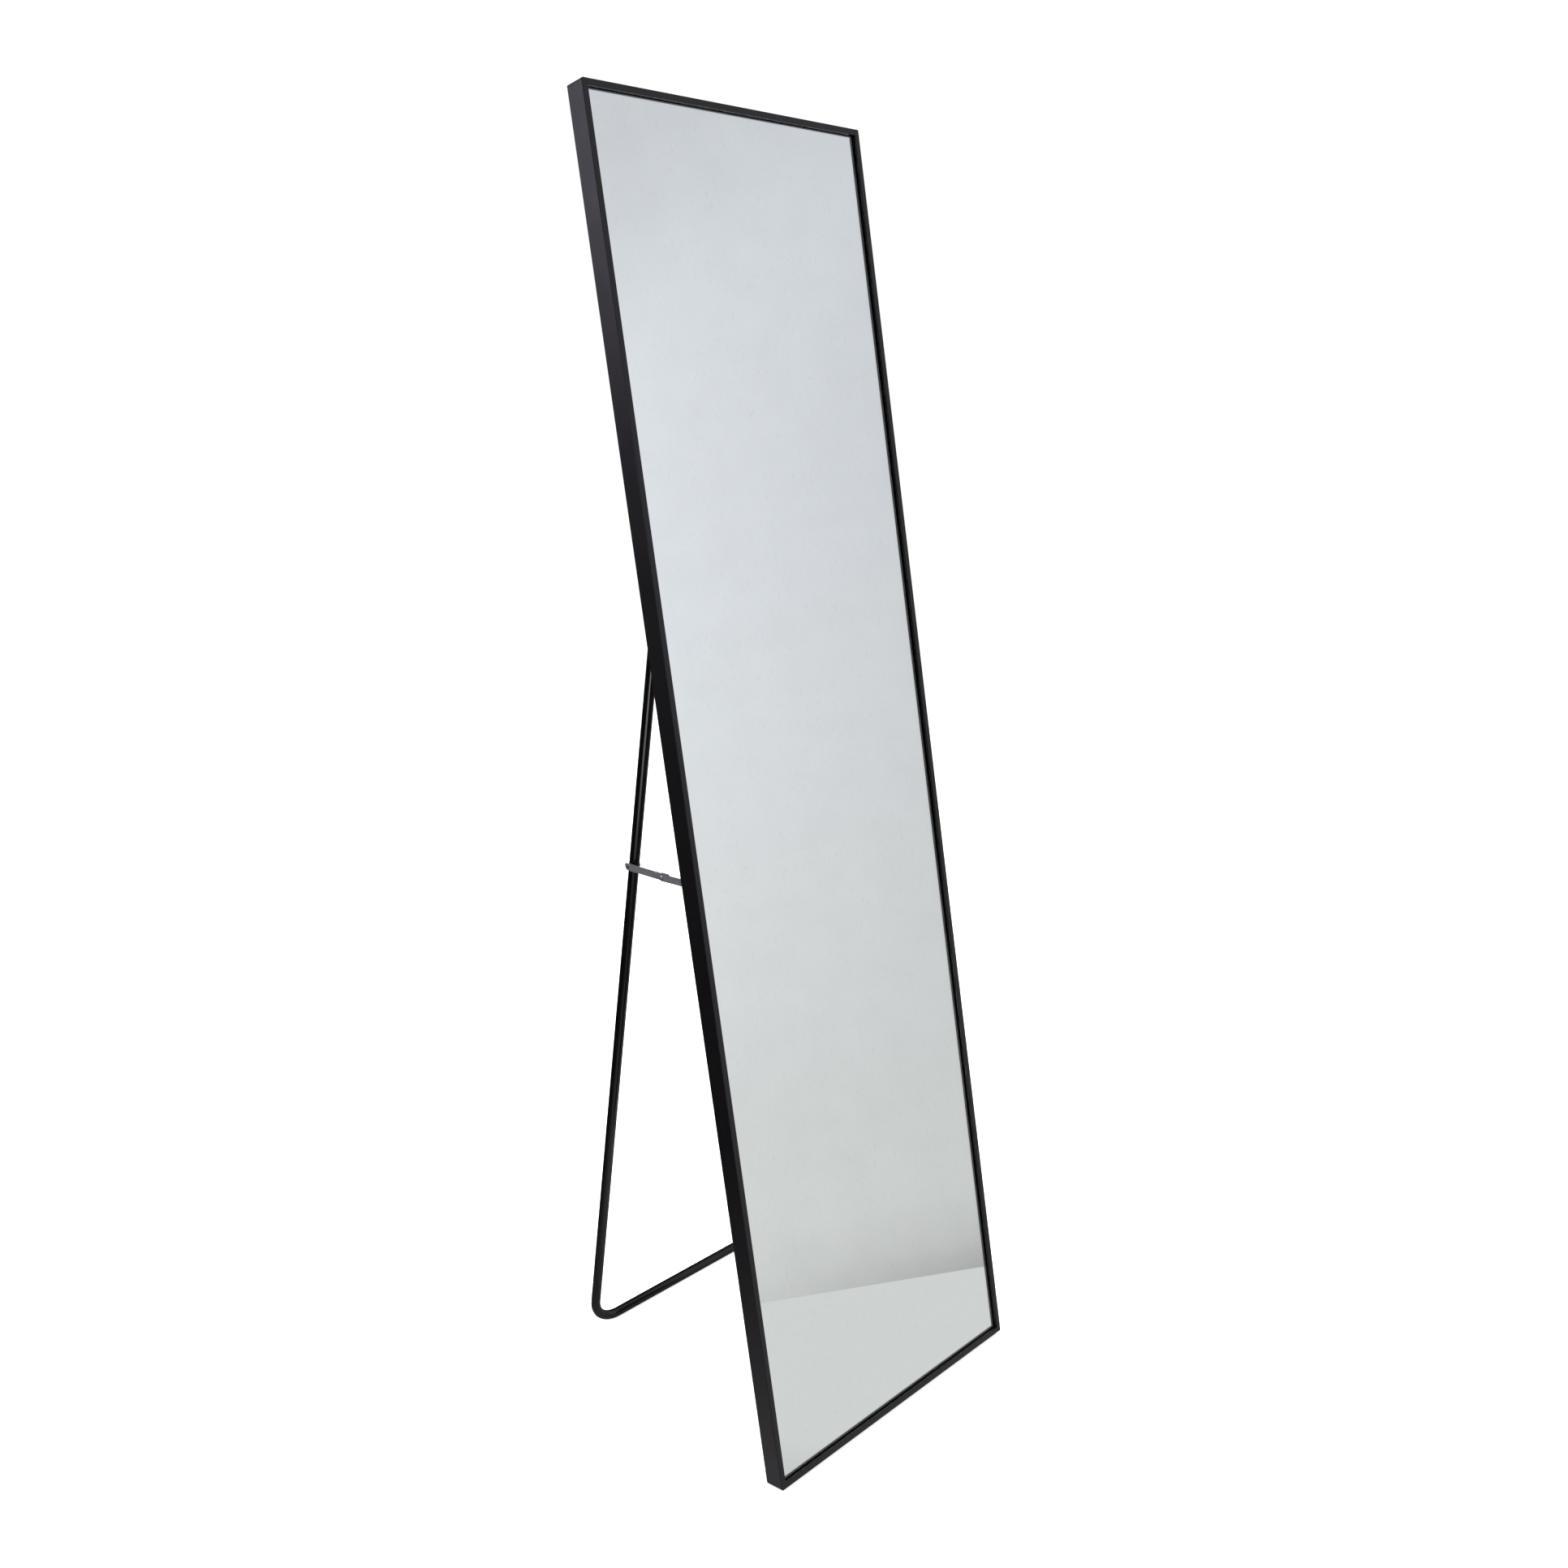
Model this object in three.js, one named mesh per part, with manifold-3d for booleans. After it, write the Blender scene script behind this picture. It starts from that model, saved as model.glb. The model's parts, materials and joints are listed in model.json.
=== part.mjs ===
// A leaning floor mirror: a slim black extruded frame round a tall glass, held at a slant by a U-shaped
// tube leg that is hinged behind it, and locked open by a small folding stay on its left.
//
// Millimetres, +Z up, the glass faces -Y. The origin is on the floor, below the middle of the object.
// The frame is modelled upright, in panel coordinates, and its group then leans it back:
//   x to the right, y the depth behind the frame's front face, z the height above its bottom edge.

import * as THREE from 'three';
import { mergeVertices } from 'three/addons/utils/BufferGeometryUtils.js';
import Module from 'manifold-3d';

// ---------------------------------------------------------------- driving dimensions

// Frame
const FRAME_HEIGHT = 1500;
const FRAME_WIDTH = 400;
const FRAME_DEPTH = 25;
const LIP_WIDTH = 7; // the black border seen from the front
const LIP_DEPTH = 3.1; // the glass lies this far behind the front
const LIP_RIM = 1.4; // the lip turns back to the glass along its inner edge
const WALL = 1.5; // wall of the extrusion
const PROFILE_WIDTH = 22; // width of the hollow chamber behind the glass
const EDGE_RADIUS = 1; // outer edges of the extrusion
const MITRE_GAP = 0.2;

// What the slot of the frame holds, from the front
const GLASS_THICKNESS = 3;
const FOAM_THICKNESS = 1.2;
const BOARD_THICKNESS = 3;
const EDGE_PLAY = 0.8; // between the glass's edge and the bottom of the slot

// Leg
const TUBE_RADIUS = 6;
const TUBE_WALL = 1.2;
const LEG_SPACING = 330; // between the centrelines of its two tubes
const LEG_LENGTH = 998; // hinge axis to the centreline of the bottom bar
const LEG_BEND = 40; // centreline radius of its two corners
const LEG_TOP = 12; // tube above the hinge axis
const LEG_OPEN = THREE.MathUtils.degToRad(20.29); // leg to frame, standing open
const HINGE_HEIGHT = 1007;
const HINGE_STANDOFF = 8.5; // hinge axis behind the frame's back plane

// Hinge hardware
const HINGE_BOLT_RADIUS = 2.5;
const HINGE_PLATE = 2;
const HINGE_BRACKET_EDGE = 5; // bracket's outer edge, in from the frame's side
const HINGE_BRACKET_LOW = 17; // bracket below the hinge axis
const HINGE_BRACKET_HIGH = 35; // and above it
const HINGE_EAR_RADIUS = 10;
const HINGE_SCREWS = [-9, 26]; // heights from the hinge axis
const WASHER = 0.8; // thickness, each side of the tube

// Folding stay
const STAY_FROM_HINGE = 330; // along the leg, hinge axis to the stay's pivot
const STAY_LEG_LINK = 61; // pivot to pivot
const STAY_FRAME_LINK = 57;
const STAY_OVERCENTRE = THREE.MathUtils.degToRad(1.5); // the elbow locks this far past straight
const STAY_STANDOFF = 6; // its frame pivot behind the frame's back plane
const STAY_PLATE = 1.5;
const STAY_HALF_WIDTH = 4;
const STAY_RIVET_RADIUS = 1.6;
const STAY_BRACKET_EDGE = 3;
const STAY_BRACKET_LOW = 15;
const STAY_BRACKET_HIGH = 31;
const STAY_EAR_RADIUS = 6;
const STAY_SCREWS = [-9, 23]; // heights from the stay's frame pivot
const SPACER_RISE = 1.2; // the saddle spacer stands this far off the tube

// Screws and small parts
const SCREW_RADIUS = 1.9;
const SCREW_HEAD_RADIUS = 3.6;
const SCREW_HEAD_HEIGHT = 2;
const SCREW_LENGTH = 9;
const SCREW_LINE = 11.5; // line of screws, in from the frame's side
const CORNER_SCREW = 30; // screw to the frame's outer corner
const KEY_ARM = 50;
const PAD_LENGTH = 40;
const PAD_FRONT = 9;
const PAD_BACK = 23;
const PAD_THICKNESS = 1.5; // at its thin back edge
const PAD_CENTRE = 150;

const EAR_SLOPE = 1.6; // an ear runs up into its base this much for each mm of its reach

const GAP = 0.3; // between pieces that touch
const RUNNING = 0.3; // radial play of a bolt or rivet in its hole
const ROUND_SIDES = 24;
const X = new THREE.Vector3(1, 0, 0);
const Y = new THREE.Vector3(0, 1, 0);
const Z = new THREE.Vector3(0, 0, 1);

// ---------------------------------------------------------------- derived places

const halfWidth = FRAME_WIDTH / 2;
const glassFront = LIP_DEPTH + GAP;
const foamFront = glassFront + GLASS_THICKNESS + GAP;
const boardFront = foamFront + FOAM_THICKNESS + GAP;
const slotBack = boardFront + BOARD_THICKNESS + GAP;
const chamberFront = slotBack + WALL;
const chamberBack = FRAME_DEPTH - WALL;

// Across the hinge and the stay everything is stacked outwards from the tube's outer side.
const tubeX = LEG_SPACING / 2;
const tubeOuter = tubeX + TUBE_RADIUS;
const tubeInner = tubeX - TUBE_RADIUS;
const earInner = tubeOuter + WASHER + 2 * GAP;
const legLinkInner = tubeOuter + SPACER_RISE + GAP;
const frameLinkInner = legLinkInner + STAY_PLATE + GAP;
const stayEarInner = frameLinkInner + STAY_PLATE + GAP;

const hingeY = FRAME_DEPTH + HINGE_STANDOFF;
const barY = hingeY + LEG_LENGTH * Math.sin(LEG_OPEN);
const barZ = HINGE_HEIGHT - LEG_LENGTH * Math.cos(LEG_OPEN);
const padBottom = -GAP - PAD_THICKNESS;

// The lean is the angle at which the pads' back edge and the bar both touch the floor.
function leanAngle() {
  const rise = barZ - padBottom;
  const run = barY - PAD_BACK;
  return Math.acos(TUBE_RADIUS / Math.hypot(rise, run)) - Math.atan2(run, rise);
}
const lean = leanAngle();
const worldY = (y, z) => y * Math.cos(lean) + z * Math.sin(lean);
const worldZ = (y, z) => z * Math.cos(lean) - y * Math.sin(lean);
const reach = worldY(barY, barZ) + TUBE_RADIUS; // rearmost point, from the frame's front bottom edge

// Stay: its leg pivot lies on the tube, and its frame pivot is where the nearly straight links reach.
const legPivot = new THREE.Vector2(
  hingeY + STAY_FROM_HINGE * Math.sin(LEG_OPEN),
  HINGE_HEIGHT - STAY_FROM_HINGE * Math.cos(LEG_OPEN),
);
const stayChord = Math.sqrt(
  STAY_LEG_LINK ** 2 + STAY_FRAME_LINK ** 2
  + 2 * STAY_LEG_LINK * STAY_FRAME_LINK * Math.cos(STAY_OVERCENTRE),
);
const framePivotY = FRAME_DEPTH + STAY_STANDOFF;
const framePivot = new THREE.Vector2(
  framePivotY,
  legPivot.y - Math.sqrt(stayChord ** 2 - (legPivot.x - framePivotY) ** 2),
);

// Third corner of the triangle over base a-b, at ra from a and rb from b, on the side given by sign.
function apex(a, b, ra, rb, sign) {
  const base = b.clone().sub(a);
  const d = base.length();
  const along = (ra ** 2 - rb ** 2 + d ** 2) / (2 * d);
  const off = sign * Math.sqrt(Math.max(ra ** 2 - along ** 2, 0));
  const unit = base.divideScalar(d);
  return new THREE.Vector2(
    a.x + unit.x * along - unit.y * off,
    a.y + unit.y * along + unit.x * off,
  );
}
const elbow = apex(framePivot, legPivot, STAY_FRAME_LINK, STAY_LEG_LINK, -1);
const frameLinkAngle = Math.atan2(elbow.y - framePivot.y, elbow.x - framePivot.x);
const legLinkAngle = Math.atan2(legPivot.y - elbow.y, legPivot.x - elbow.x);

// ---------------------------------------------------------------- materials

function material(color, roughness, metalness) {
  return new THREE.MeshStandardMaterial({ color, roughness, metalness });
}
const frameBlack = () => material(0x2b2b2e, 0.55, 0.3);
const tubeBlack = () => material(0x121214, 0.25, 0.2);
const bracketBlack = () => material(0x1d1d1f, 0.45, 0.4);
const zincSteel = () => material(0x85878b, 0.42, 0.9);
const silveredGlass = () => material(0xd5dada, 0.03, 1.0);
const castAluminium = () => material(0xa3a5a8, 0.5, 0.85);
const boardBrown = () => material(0x5a4a3c, 0.85, 0.0);
const foamWhite = () => material(0xd9d9d6, 0.95, 0.0);
const nylonBlack = () => material(0x17171a, 0.5, 0.0);
const rubberBlack = () => material(0x1a1a1a, 0.9, 0.0);

// ---------------------------------------------------------------- solids, booleans and meshes

const wasm = await Module();
wasm.setup();

function toSolid(geometry) {
  const bare = geometry.clone();
  bare.deleteAttribute('normal');
  bare.deleteAttribute('uv');
  const merged = mergeVertices(bare, 1e-4);
  return new wasm.Manifold(new wasm.Mesh({
    numProp: 3,
    vertProperties: Float32Array.from(merged.attributes.position.array),
    triVerts: Uint32Array.from(merged.index.array),
  }));
}

function toGeometry(solid) {
  const cut = solid.getMesh();
  const geometry = new THREE.BufferGeometry();
  geometry.setAttribute('position', new THREE.Float32BufferAttribute(cut.vertProperties, 3));
  geometry.setIndex(Array.from(cut.triVerts));
  geometry.computeVertexNormals();
  return geometry;
}

function subtract(geometry, ...tools) {
  return toGeometry(tools.reduce((solid, tool) => solid.subtract(toSolid(tool)), toSolid(geometry)));
}

function join(geometry, ...others) {
  return toGeometry(others.reduce((solid, other) => solid.add(toSolid(other)), toSolid(geometry)));
}

function piece(parent, name, geometry, look) {
  const mesh = new THREE.Mesh(geometry, look);
  mesh.name = name;
  parent.add(mesh);
  return mesh;
}

// An outline in (y, z), made a plate from x0 to x1.
function plateAlongX(outline, x0, x1) {
  const low = Math.min(x0, x1);
  const geometry = new THREE.ExtrudeGeometry(outline, {
    depth: Math.abs(x1 - x0), bevelEnabled: false, curveSegments: 8,
  });
  geometry.applyMatrix4(new THREE.Matrix4().makeBasis(Y, Z, X).setPosition(low, 0, 0));
  return geometry;
}

// A round bar along X or along Y.
function rodAlongX(radius, x0, x1, y = 0, z = 0, sides = ROUND_SIDES) {
  const geometry = new THREE.CylinderGeometry(radius, radius, Math.abs(x1 - x0), sides);
  geometry.rotateZ(Math.PI / 2);
  return geometry.translate((x0 + x1) / 2, y, z);
}

function rodAlongY(radius, y0, y1, x = 0, z = 0) {
  const geometry = new THREE.CylinderGeometry(radius, radius, y1 - y0, ROUND_SIDES);
  return geometry.translate(x, (y0 + y1) / 2, z);
}

function arc(cx, cy, radius, from, to, steps = 6) {
  const points = [];
  for (let i = 0; i <= steps; i += 1) {
    const angle = THREE.MathUtils.degToRad(from + ((to - from) * i) / steps);
    points.push(new THREE.Vector2(cx + radius * Math.cos(angle), cy + radius * Math.sin(angle)));
  }
  return points;
}

const point = (x, y) => new THREE.Vector2(x, y);

// A turned part round the Y axis: pairs of radius and y, upwards, starting and ending on the axis.
function turned(profile, sides = ROUND_SIDES) {
  return new THREE.LatheGeometry(profile.map(([r, y]) => point(r, y)), sides);
}

// ---------------------------------------------------------------- frame

// Section of the extrusion: u in from the outer side, v back from the front face. It has the front lip with
// its turned-back rim, the slot that holds glass, foam and board, and the hollow chamber for the corner keys.
function frameSection() {
  const outline = new THREE.Shape([
    ...arc(EDGE_RADIUS, EDGE_RADIUS, EDGE_RADIUS, 180, 270, 4),
    point(LIP_WIDTH, 0),
    point(LIP_WIDTH, LIP_DEPTH),
    point(LIP_WIDTH - LIP_RIM, LIP_DEPTH),
    point(LIP_WIDTH - LIP_RIM, WALL),
    point(WALL, WALL),
    point(WALL, slotBack),
    point(PROFILE_WIDTH, slotBack),
    point(PROFILE_WIDTH, FRAME_DEPTH),
    ...arc(EDGE_RADIUS, FRAME_DEPTH - EDGE_RADIUS, EDGE_RADIUS, 90, 180, 4),
  ]);
  outline.holes.push(new THREE.Path([
    point(WALL, chamberFront),
    point(WALL, chamberBack),
    point(PROFILE_WIDTH - WALL, chamberBack),
    point(PROFILE_WIDTH - WALL, chamberFront),
  ]));
  return outline;
}

// One side of the frame, along Z: each end point moves in by its own distance from the outer side, which
// mitres both ends. Screw holes go through the back wall at [u, height along the side].
function frameSide(length, screwHoles) {
  const geometry = new THREE.ExtrudeGeometry(frameSection(), { depth: 1, bevelEnabled: false });
  const place = geometry.attributes.position;
  for (let i = 0; i < place.count; i += 1) {
    const end = length / 2 - place.getX(i) - MITRE_GAP / Math.SQRT2;
    place.setZ(i, place.getZ(i) > 0.5 ? end : -end);
  }
  const holes = screwHoles.map(([u, s]) => (
    rodAlongY(SCREW_RADIUS + RUNNING, chamberBack - 1, FRAME_DEPTH + 1, u, s)
  ));
  return subtract(geometry, ...holes);
}

const cornerHoles = (length) => [
  [SCREW_LINE, length / 2 - CORNER_SCREW],
  [SCREW_LINE, CORNER_SCREW - length / 2],
];

// L-shaped key that fills the chamber at a corner, seen from the frame's outer corner inwards.
function cornerKey() {
  const low = WALL + GAP;
  const high = PROFILE_WIDTH - WALL - GAP;
  const outline = new THREE.Shape([
    point(low, low), point(KEY_ARM, low), point(KEY_ARM, high),
    point(high, high), point(high, KEY_ARM), point(low, KEY_ARM),
  ]);
  const front = chamberFront + GAP;
  const back = chamberBack - GAP;
  const geometry = new THREE.ExtrudeGeometry(outline, { depth: back - front, bevelEnabled: false });
  geometry.applyMatrix4(new THREE.Matrix4().makeBasis(X, Z, Y.clone().negate()).setPosition(0, back, 0));
  const depth = SCREW_LENGTH + 1;
  return subtract(
    geometry,
    rodAlongY(SCREW_RADIUS + RUNNING, FRAME_DEPTH - depth, back + 1, CORNER_SCREW, SCREW_LINE),
    rodAlongY(SCREW_RADIUS + RUNNING, FRAME_DEPTH - depth, back + 1, SCREW_LINE, CORNER_SCREW),
  );
}

// Pan head screw along Y, its head behind y = 0 and its shank in front.
function screw() {
  return turned([
    [0, -SCREW_LENGTH], [SCREW_RADIUS * 0.6, -SCREW_LENGTH], [SCREW_RADIUS, 1 - SCREW_LENGTH],
    [SCREW_RADIUS, 0], [SCREW_HEAD_RADIUS, 0], [SCREW_HEAD_RADIUS, SCREW_HEAD_HEIGHT * 0.5],
    [SCREW_HEAD_RADIUS * 0.7, SCREW_HEAD_HEIGHT], [0, SCREW_HEAD_HEIGHT],
  ], 16);
}

function buildFrame(panel, bracketScrews) {
  const stileHoles = (side) => [
    ...cornerHoles(FRAME_HEIGHT),
    ...bracketScrews
      .filter((screwPlace) => screwPlace.side === side)
      .map(({ z }) => [SCREW_LINE, -side * (z - FRAME_HEIGHT / 2)]),
  ];
  const left = piece(panel, 'frame_stile_left', frameSide(FRAME_HEIGHT, stileHoles(-1)), frameBlack());
  left.position.set(-halfWidth, 0, FRAME_HEIGHT / 2);
  const right = piece(panel, 'frame_stile_right', frameSide(FRAME_HEIGHT, stileHoles(1)), frameBlack());
  right.position.set(halfWidth, 0, FRAME_HEIGHT / 2);
  right.rotation.y = Math.PI;
  const rail = () => frameSide(FRAME_WIDTH, cornerHoles(FRAME_WIDTH));
  const top = piece(panel, 'frame_rail_top', rail(), frameBlack());
  top.position.set(0, 0, FRAME_HEIGHT);
  top.rotation.y = Math.PI / 2;
  const bottom = piece(panel, 'frame_rail_bottom', rail(), frameBlack());
  bottom.rotation.y = -Math.PI / 2;

  const corners = [
    ['bottom_left', -halfWidth, 0, 0],
    ['bottom_right', halfWidth, 0, -Math.PI / 2],
    ['top_right', halfWidth, FRAME_HEIGHT, Math.PI],
    ['top_left', -halfWidth, FRAME_HEIGHT, Math.PI / 2],
  ];
  for (const [corner, x, z, turn] of corners) {
    const group = new THREE.Group();
    group.position.set(x, 0, z);
    group.rotation.y = turn;
    panel.add(group);
    piece(group, `corner_key_${corner}`, cornerKey(), castAluminium());
    const first = piece(group, `corner_screw_${corner}_1`, screw(), bracketBlack());
    first.position.set(CORNER_SCREW, FRAME_DEPTH + GAP, SCREW_LINE);
    const second = piece(group, `corner_screw_${corner}_2`, screw(), bracketBlack());
    second.position.set(SCREW_LINE, FRAME_DEPTH + GAP, CORNER_SCREW);
  }
}

function buildPanelLayers(panel) {
  const margin = 2 * (WALL + EDGE_PLAY);
  const layer = (name, front, thickness, look) => {
    const sheet = new THREE.BoxGeometry(FRAME_WIDTH - margin, thickness, FRAME_HEIGHT - margin);
    piece(panel, name, sheet, look).position.set(0, front + thickness / 2, FRAME_HEIGHT / 2);
  };
  layer('mirror_glass', glassFront, GLASS_THICKNESS, silveredGlass());
  layer('foam_liner', foamFront, FOAM_THICKNESS, foamWhite());
  layer('backing_board', boardFront, BOARD_THICKNESS, boardBrown());
}

// Wedge under the bottom rail, whose underside lies flat on the floor when the frame leans.
function buildFloorPads(panel) {
  const drop = (PAD_BACK - PAD_FRONT) * Math.tan(lean);
  const outline = new THREE.Shape([
    point(PAD_FRONT, -GAP),
    point(PAD_FRONT, padBottom - drop),
    point(PAD_BACK, padBottom),
    point(PAD_BACK, -GAP),
  ]);
  const wedge = () => plateAlongX(outline, -PAD_LENGTH / 2, PAD_LENGTH / 2);
  for (const [name, side] of [['left', -1], ['right', 1]]) {
    piece(panel, `floor_pad_${name}`, wedge(), rubberBlack()).position.x = side * PAD_CENTRE;
  }
}

// ---------------------------------------------------------------- brackets

// Bent plate behind a stile: a base that is screwed to it, and an ear that stands back from its inner edge
// and carries a pivot along X at height 0. side is -1 on the left and 1 on the right, and the other values
// are the shape's: its outer edge, the ear's inner face, the pivot's depth, how far the base reaches below
// and above the pivot, and the heights of its screws.
function angleBracket(side, shape) {
  const { outer, inner, plate, pivotY, low, high, earRadius, holeRadius, screwHeights } = shape;
  const front = FRAME_DEPTH + GAP;
  const bend = 2 * plate; // outer radius of the bend
  const section = [
    point(outer, front),
    ...arc(inner + bend, front + bend, bend, 270, 180, 5),
    point(inner, pivotY + earRadius),
    point(inner + plate, pivotY + earRadius),
    ...arc(inner + bend, front + bend, plate, 180, 270, 5),
    point(outer, front + plate),
  ];
  const mirrored = new THREE.Shape(section.map((p) => point(side * p.x, p.y)));
  const blank = new THREE.ExtrudeGeometry(mirrored, { depth: high + low, bevelEnabled: false });
  blank.translate(0, 0, -low);
  const shoulder = front + bend;
  const sideView = new THREE.Shape([
    point(front - 1, -low - 1),
    point(shoulder, -low - 1),
    ...arc(pivotY, 0, earRadius, -90, 90, 12),
    point(shoulder, earRadius + (pivotY - shoulder) * EAR_SLOPE),
    point(shoulder, high + 1),
    point(front - 1, high + 1),
  ]);
  const window = plateAlongX(sideView, side * (inner - 1), side * (outer + 1));
  const trimmed = toGeometry(toSolid(blank).intersect(toSolid(window)));
  const screwX = side * (halfWidth - SCREW_LINE);
  const screwHoles = screwHeights.map((z) => (
    rodAlongY(SCREW_RADIUS + RUNNING, front - 1, front + plate + 1, screwX, z)
  ));
  const pivotHole = rodAlongX(holeRadius, side * (inner - 1), side * (inner + plate + 1), pivotY);
  return subtract(trimmed, pivotHole, ...screwHoles);
}

// Where each bracket's screws are, for the brackets, the stiles' holes and the screws themselves.
function listBracketScrews() {
  const list = [];
  for (const [sideName, side] of [['left', -1], ['right', 1]]) {
    HINGE_SCREWS.forEach((z, i) => {
      const name = `hinge_bracket_screw_${sideName}_${i + 1}`;
      list.push({ name, side, z: HINGE_HEIGHT + z, plate: HINGE_PLATE });
    });
  }
  STAY_SCREWS.forEach((z, i) => {
    list.push({ name: `stay_bracket_screw_${i + 1}`, side: -1, z: framePivot.y + z, plate: STAY_PLATE });
  });
  return list;
}

function buildBracketScrews(panel, list) {
  for (const { name, side, z, plate } of list) {
    const mesh = piece(panel, name, screw(), bracketBlack());
    mesh.position.set(side * (halfWidth - SCREW_LINE), FRAME_DEPTH + 2 * GAP + plate, z);
  }
}

// ---------------------------------------------------------------- hinges

const WASHER_RADIUS = 6;
const NUT_RADIUS = 4.6; // across the corners
const NUT_HEIGHT = 4.5;
const BOLT_HEAD_HEIGHT = 2.6;
const BOLT_HEAD_RADIUS = 4.6;

function ring(radius, bore, x0, x1, sides = ROUND_SIDES) {
  const hole = rodAlongX(bore, Math.min(x0, x1) - 1, Math.max(x0, x1) + 1);
  return subtract(rodAlongX(radius, x0, x1, 0, 0, sides), hole);
}

// Everything on the hinge axis lies along X, from the bracket's ear outwards and inwards.
function buildHinge(panel, name, side) {
  const place = new THREE.Group();
  place.position.set(0, 0, HINGE_HEIGHT);
  panel.add(place);
  const axis = new THREE.Group();
  axis.position.set(0, hingeY, 0);
  place.add(axis);
  const bracket = angleBracket(side, {
    outer: halfWidth - HINGE_BRACKET_EDGE,
    inner: earInner,
    plate: HINGE_PLATE,
    pivotY: hingeY,
    low: HINGE_BRACKET_LOW,
    high: HINGE_BRACKET_HIGH,
    earRadius: HINGE_EAR_RADIUS,
    holeRadius: HINGE_BOLT_RADIUS + RUNNING,
    screwHeights: HINGE_SCREWS,
  });
  piece(place, `hinge_bracket_${name}`, bracket, bracketBlack());

  const headSeat = earInner + HINGE_PLATE + GAP;
  const nutOuter = tubeInner - WASHER - 2 * GAP;
  const tip = nutOuter - NUT_HEIGHT - 1;
  const bore = HINGE_BOLT_RADIUS + RUNNING;
  const bolt = turned([
    [0, tip], [HINGE_BOLT_RADIUS, tip], [HINGE_BOLT_RADIUS, headSeat],
    [BOLT_HEAD_RADIUS, headSeat], [BOLT_HEAD_RADIUS, headSeat + BOLT_HEAD_HEIGHT * 0.3],
    [BOLT_HEAD_RADIUS * 0.85, headSeat + BOLT_HEAD_HEIGHT * 0.7],
    [BOLT_HEAD_RADIUS * 0.45, headSeat + BOLT_HEAD_HEIGHT], [0, headSeat + BOLT_HEAD_HEIGHT],
  ]);
  piece(axis, `hinge_bolt_${name}`, bolt.rotateZ(side * -Math.PI / 2), bracketBlack());
  const washer = (near, far) => ring(WASHER_RADIUS, bore, side * near, side * far);
  const outer = washer(tubeOuter + GAP, tubeOuter + GAP + WASHER);
  piece(axis, `hinge_washer_${name}_outer`, outer, nylonBlack());
  const inner = washer(tubeInner - GAP - WASHER, tubeInner - GAP);
  piece(axis, `hinge_washer_${name}_inner`, inner, nylonBlack());
  const nut = ring(NUT_RADIUS, bore, side * (nutOuter - NUT_HEIGHT), side * nutOuter, 6);
  piece(axis, `hinge_nut_${name}`, nut, bracketBlack());
}

// ---------------------------------------------------------------- leg

// A solid round bar along the leg's U, in the leg's own axes: x to the right, -z down the leg, and the
// origin on the hinge axis. Its tops are moved up by extra.
function legRod(radius, extra, sides = 20) {
  const straight = tubeX - LEG_BEND;
  const centreZ = -LEG_LENGTH + LEG_BEND;
  const stations = [];
  const add = (x, z, angle) => stations.push({ x, z, angle });
  add(-tubeX, LEG_TOP + extra, 180);
  arc(-straight, centreZ, LEG_BEND, 180, 270, 9).forEach((p, i) => add(p.x, p.y, 180 + i * 10));
  arc(straight, centreZ, LEG_BEND, 270, 360, 9).forEach((p, i) => add(p.x, p.y, 270 + i * 10));
  add(tubeX, LEG_TOP + extra, 360);

  const places = [];
  const faces = [];
  stations.forEach(({ x, z, angle }) => {
    const outX = Math.cos(THREE.MathUtils.degToRad(angle));
    const outZ = Math.sin(THREE.MathUtils.degToRad(angle));
    for (let k = 0; k < sides; k += 1) {
      const turn = (2 * Math.PI * k) / sides;
      const out = radius * Math.cos(turn);
      places.push(x + outX * out, radius * Math.sin(turn), z + outZ * out);
    }
  });
  for (let i = 0; i + 1 < stations.length; i += 1) {
    for (let k = 0; k < sides; k += 1) {
      const a = i * sides + k;
      const b = i * sides + ((k + 1) % sides);
      faces.push(a, b, a + sides, b, b + sides, a + sides);
    }
  }
  const last = (stations.length - 1) * sides;
  for (let k = 1; k + 1 < sides; k += 1) {
    faces.push(0, k + 1, k, last, last + k, last + k + 1);
  }
  const geometry = new THREE.BufferGeometry();
  geometry.setAttribute('position', new THREE.Float32BufferAttribute(places, 3));
  geometry.setIndex(faces);
  return geometry;
}

const PIVOT_TAIL_RADIUS = 3; // the stay's rivet is headed over on the tube's inner side
const PIVOT_TAIL = 1.4;
const SPACER_RADIUS = 4;
const SPACER_WRAP = 1.8; // the saddle spacer hugs this much of the tube

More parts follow.
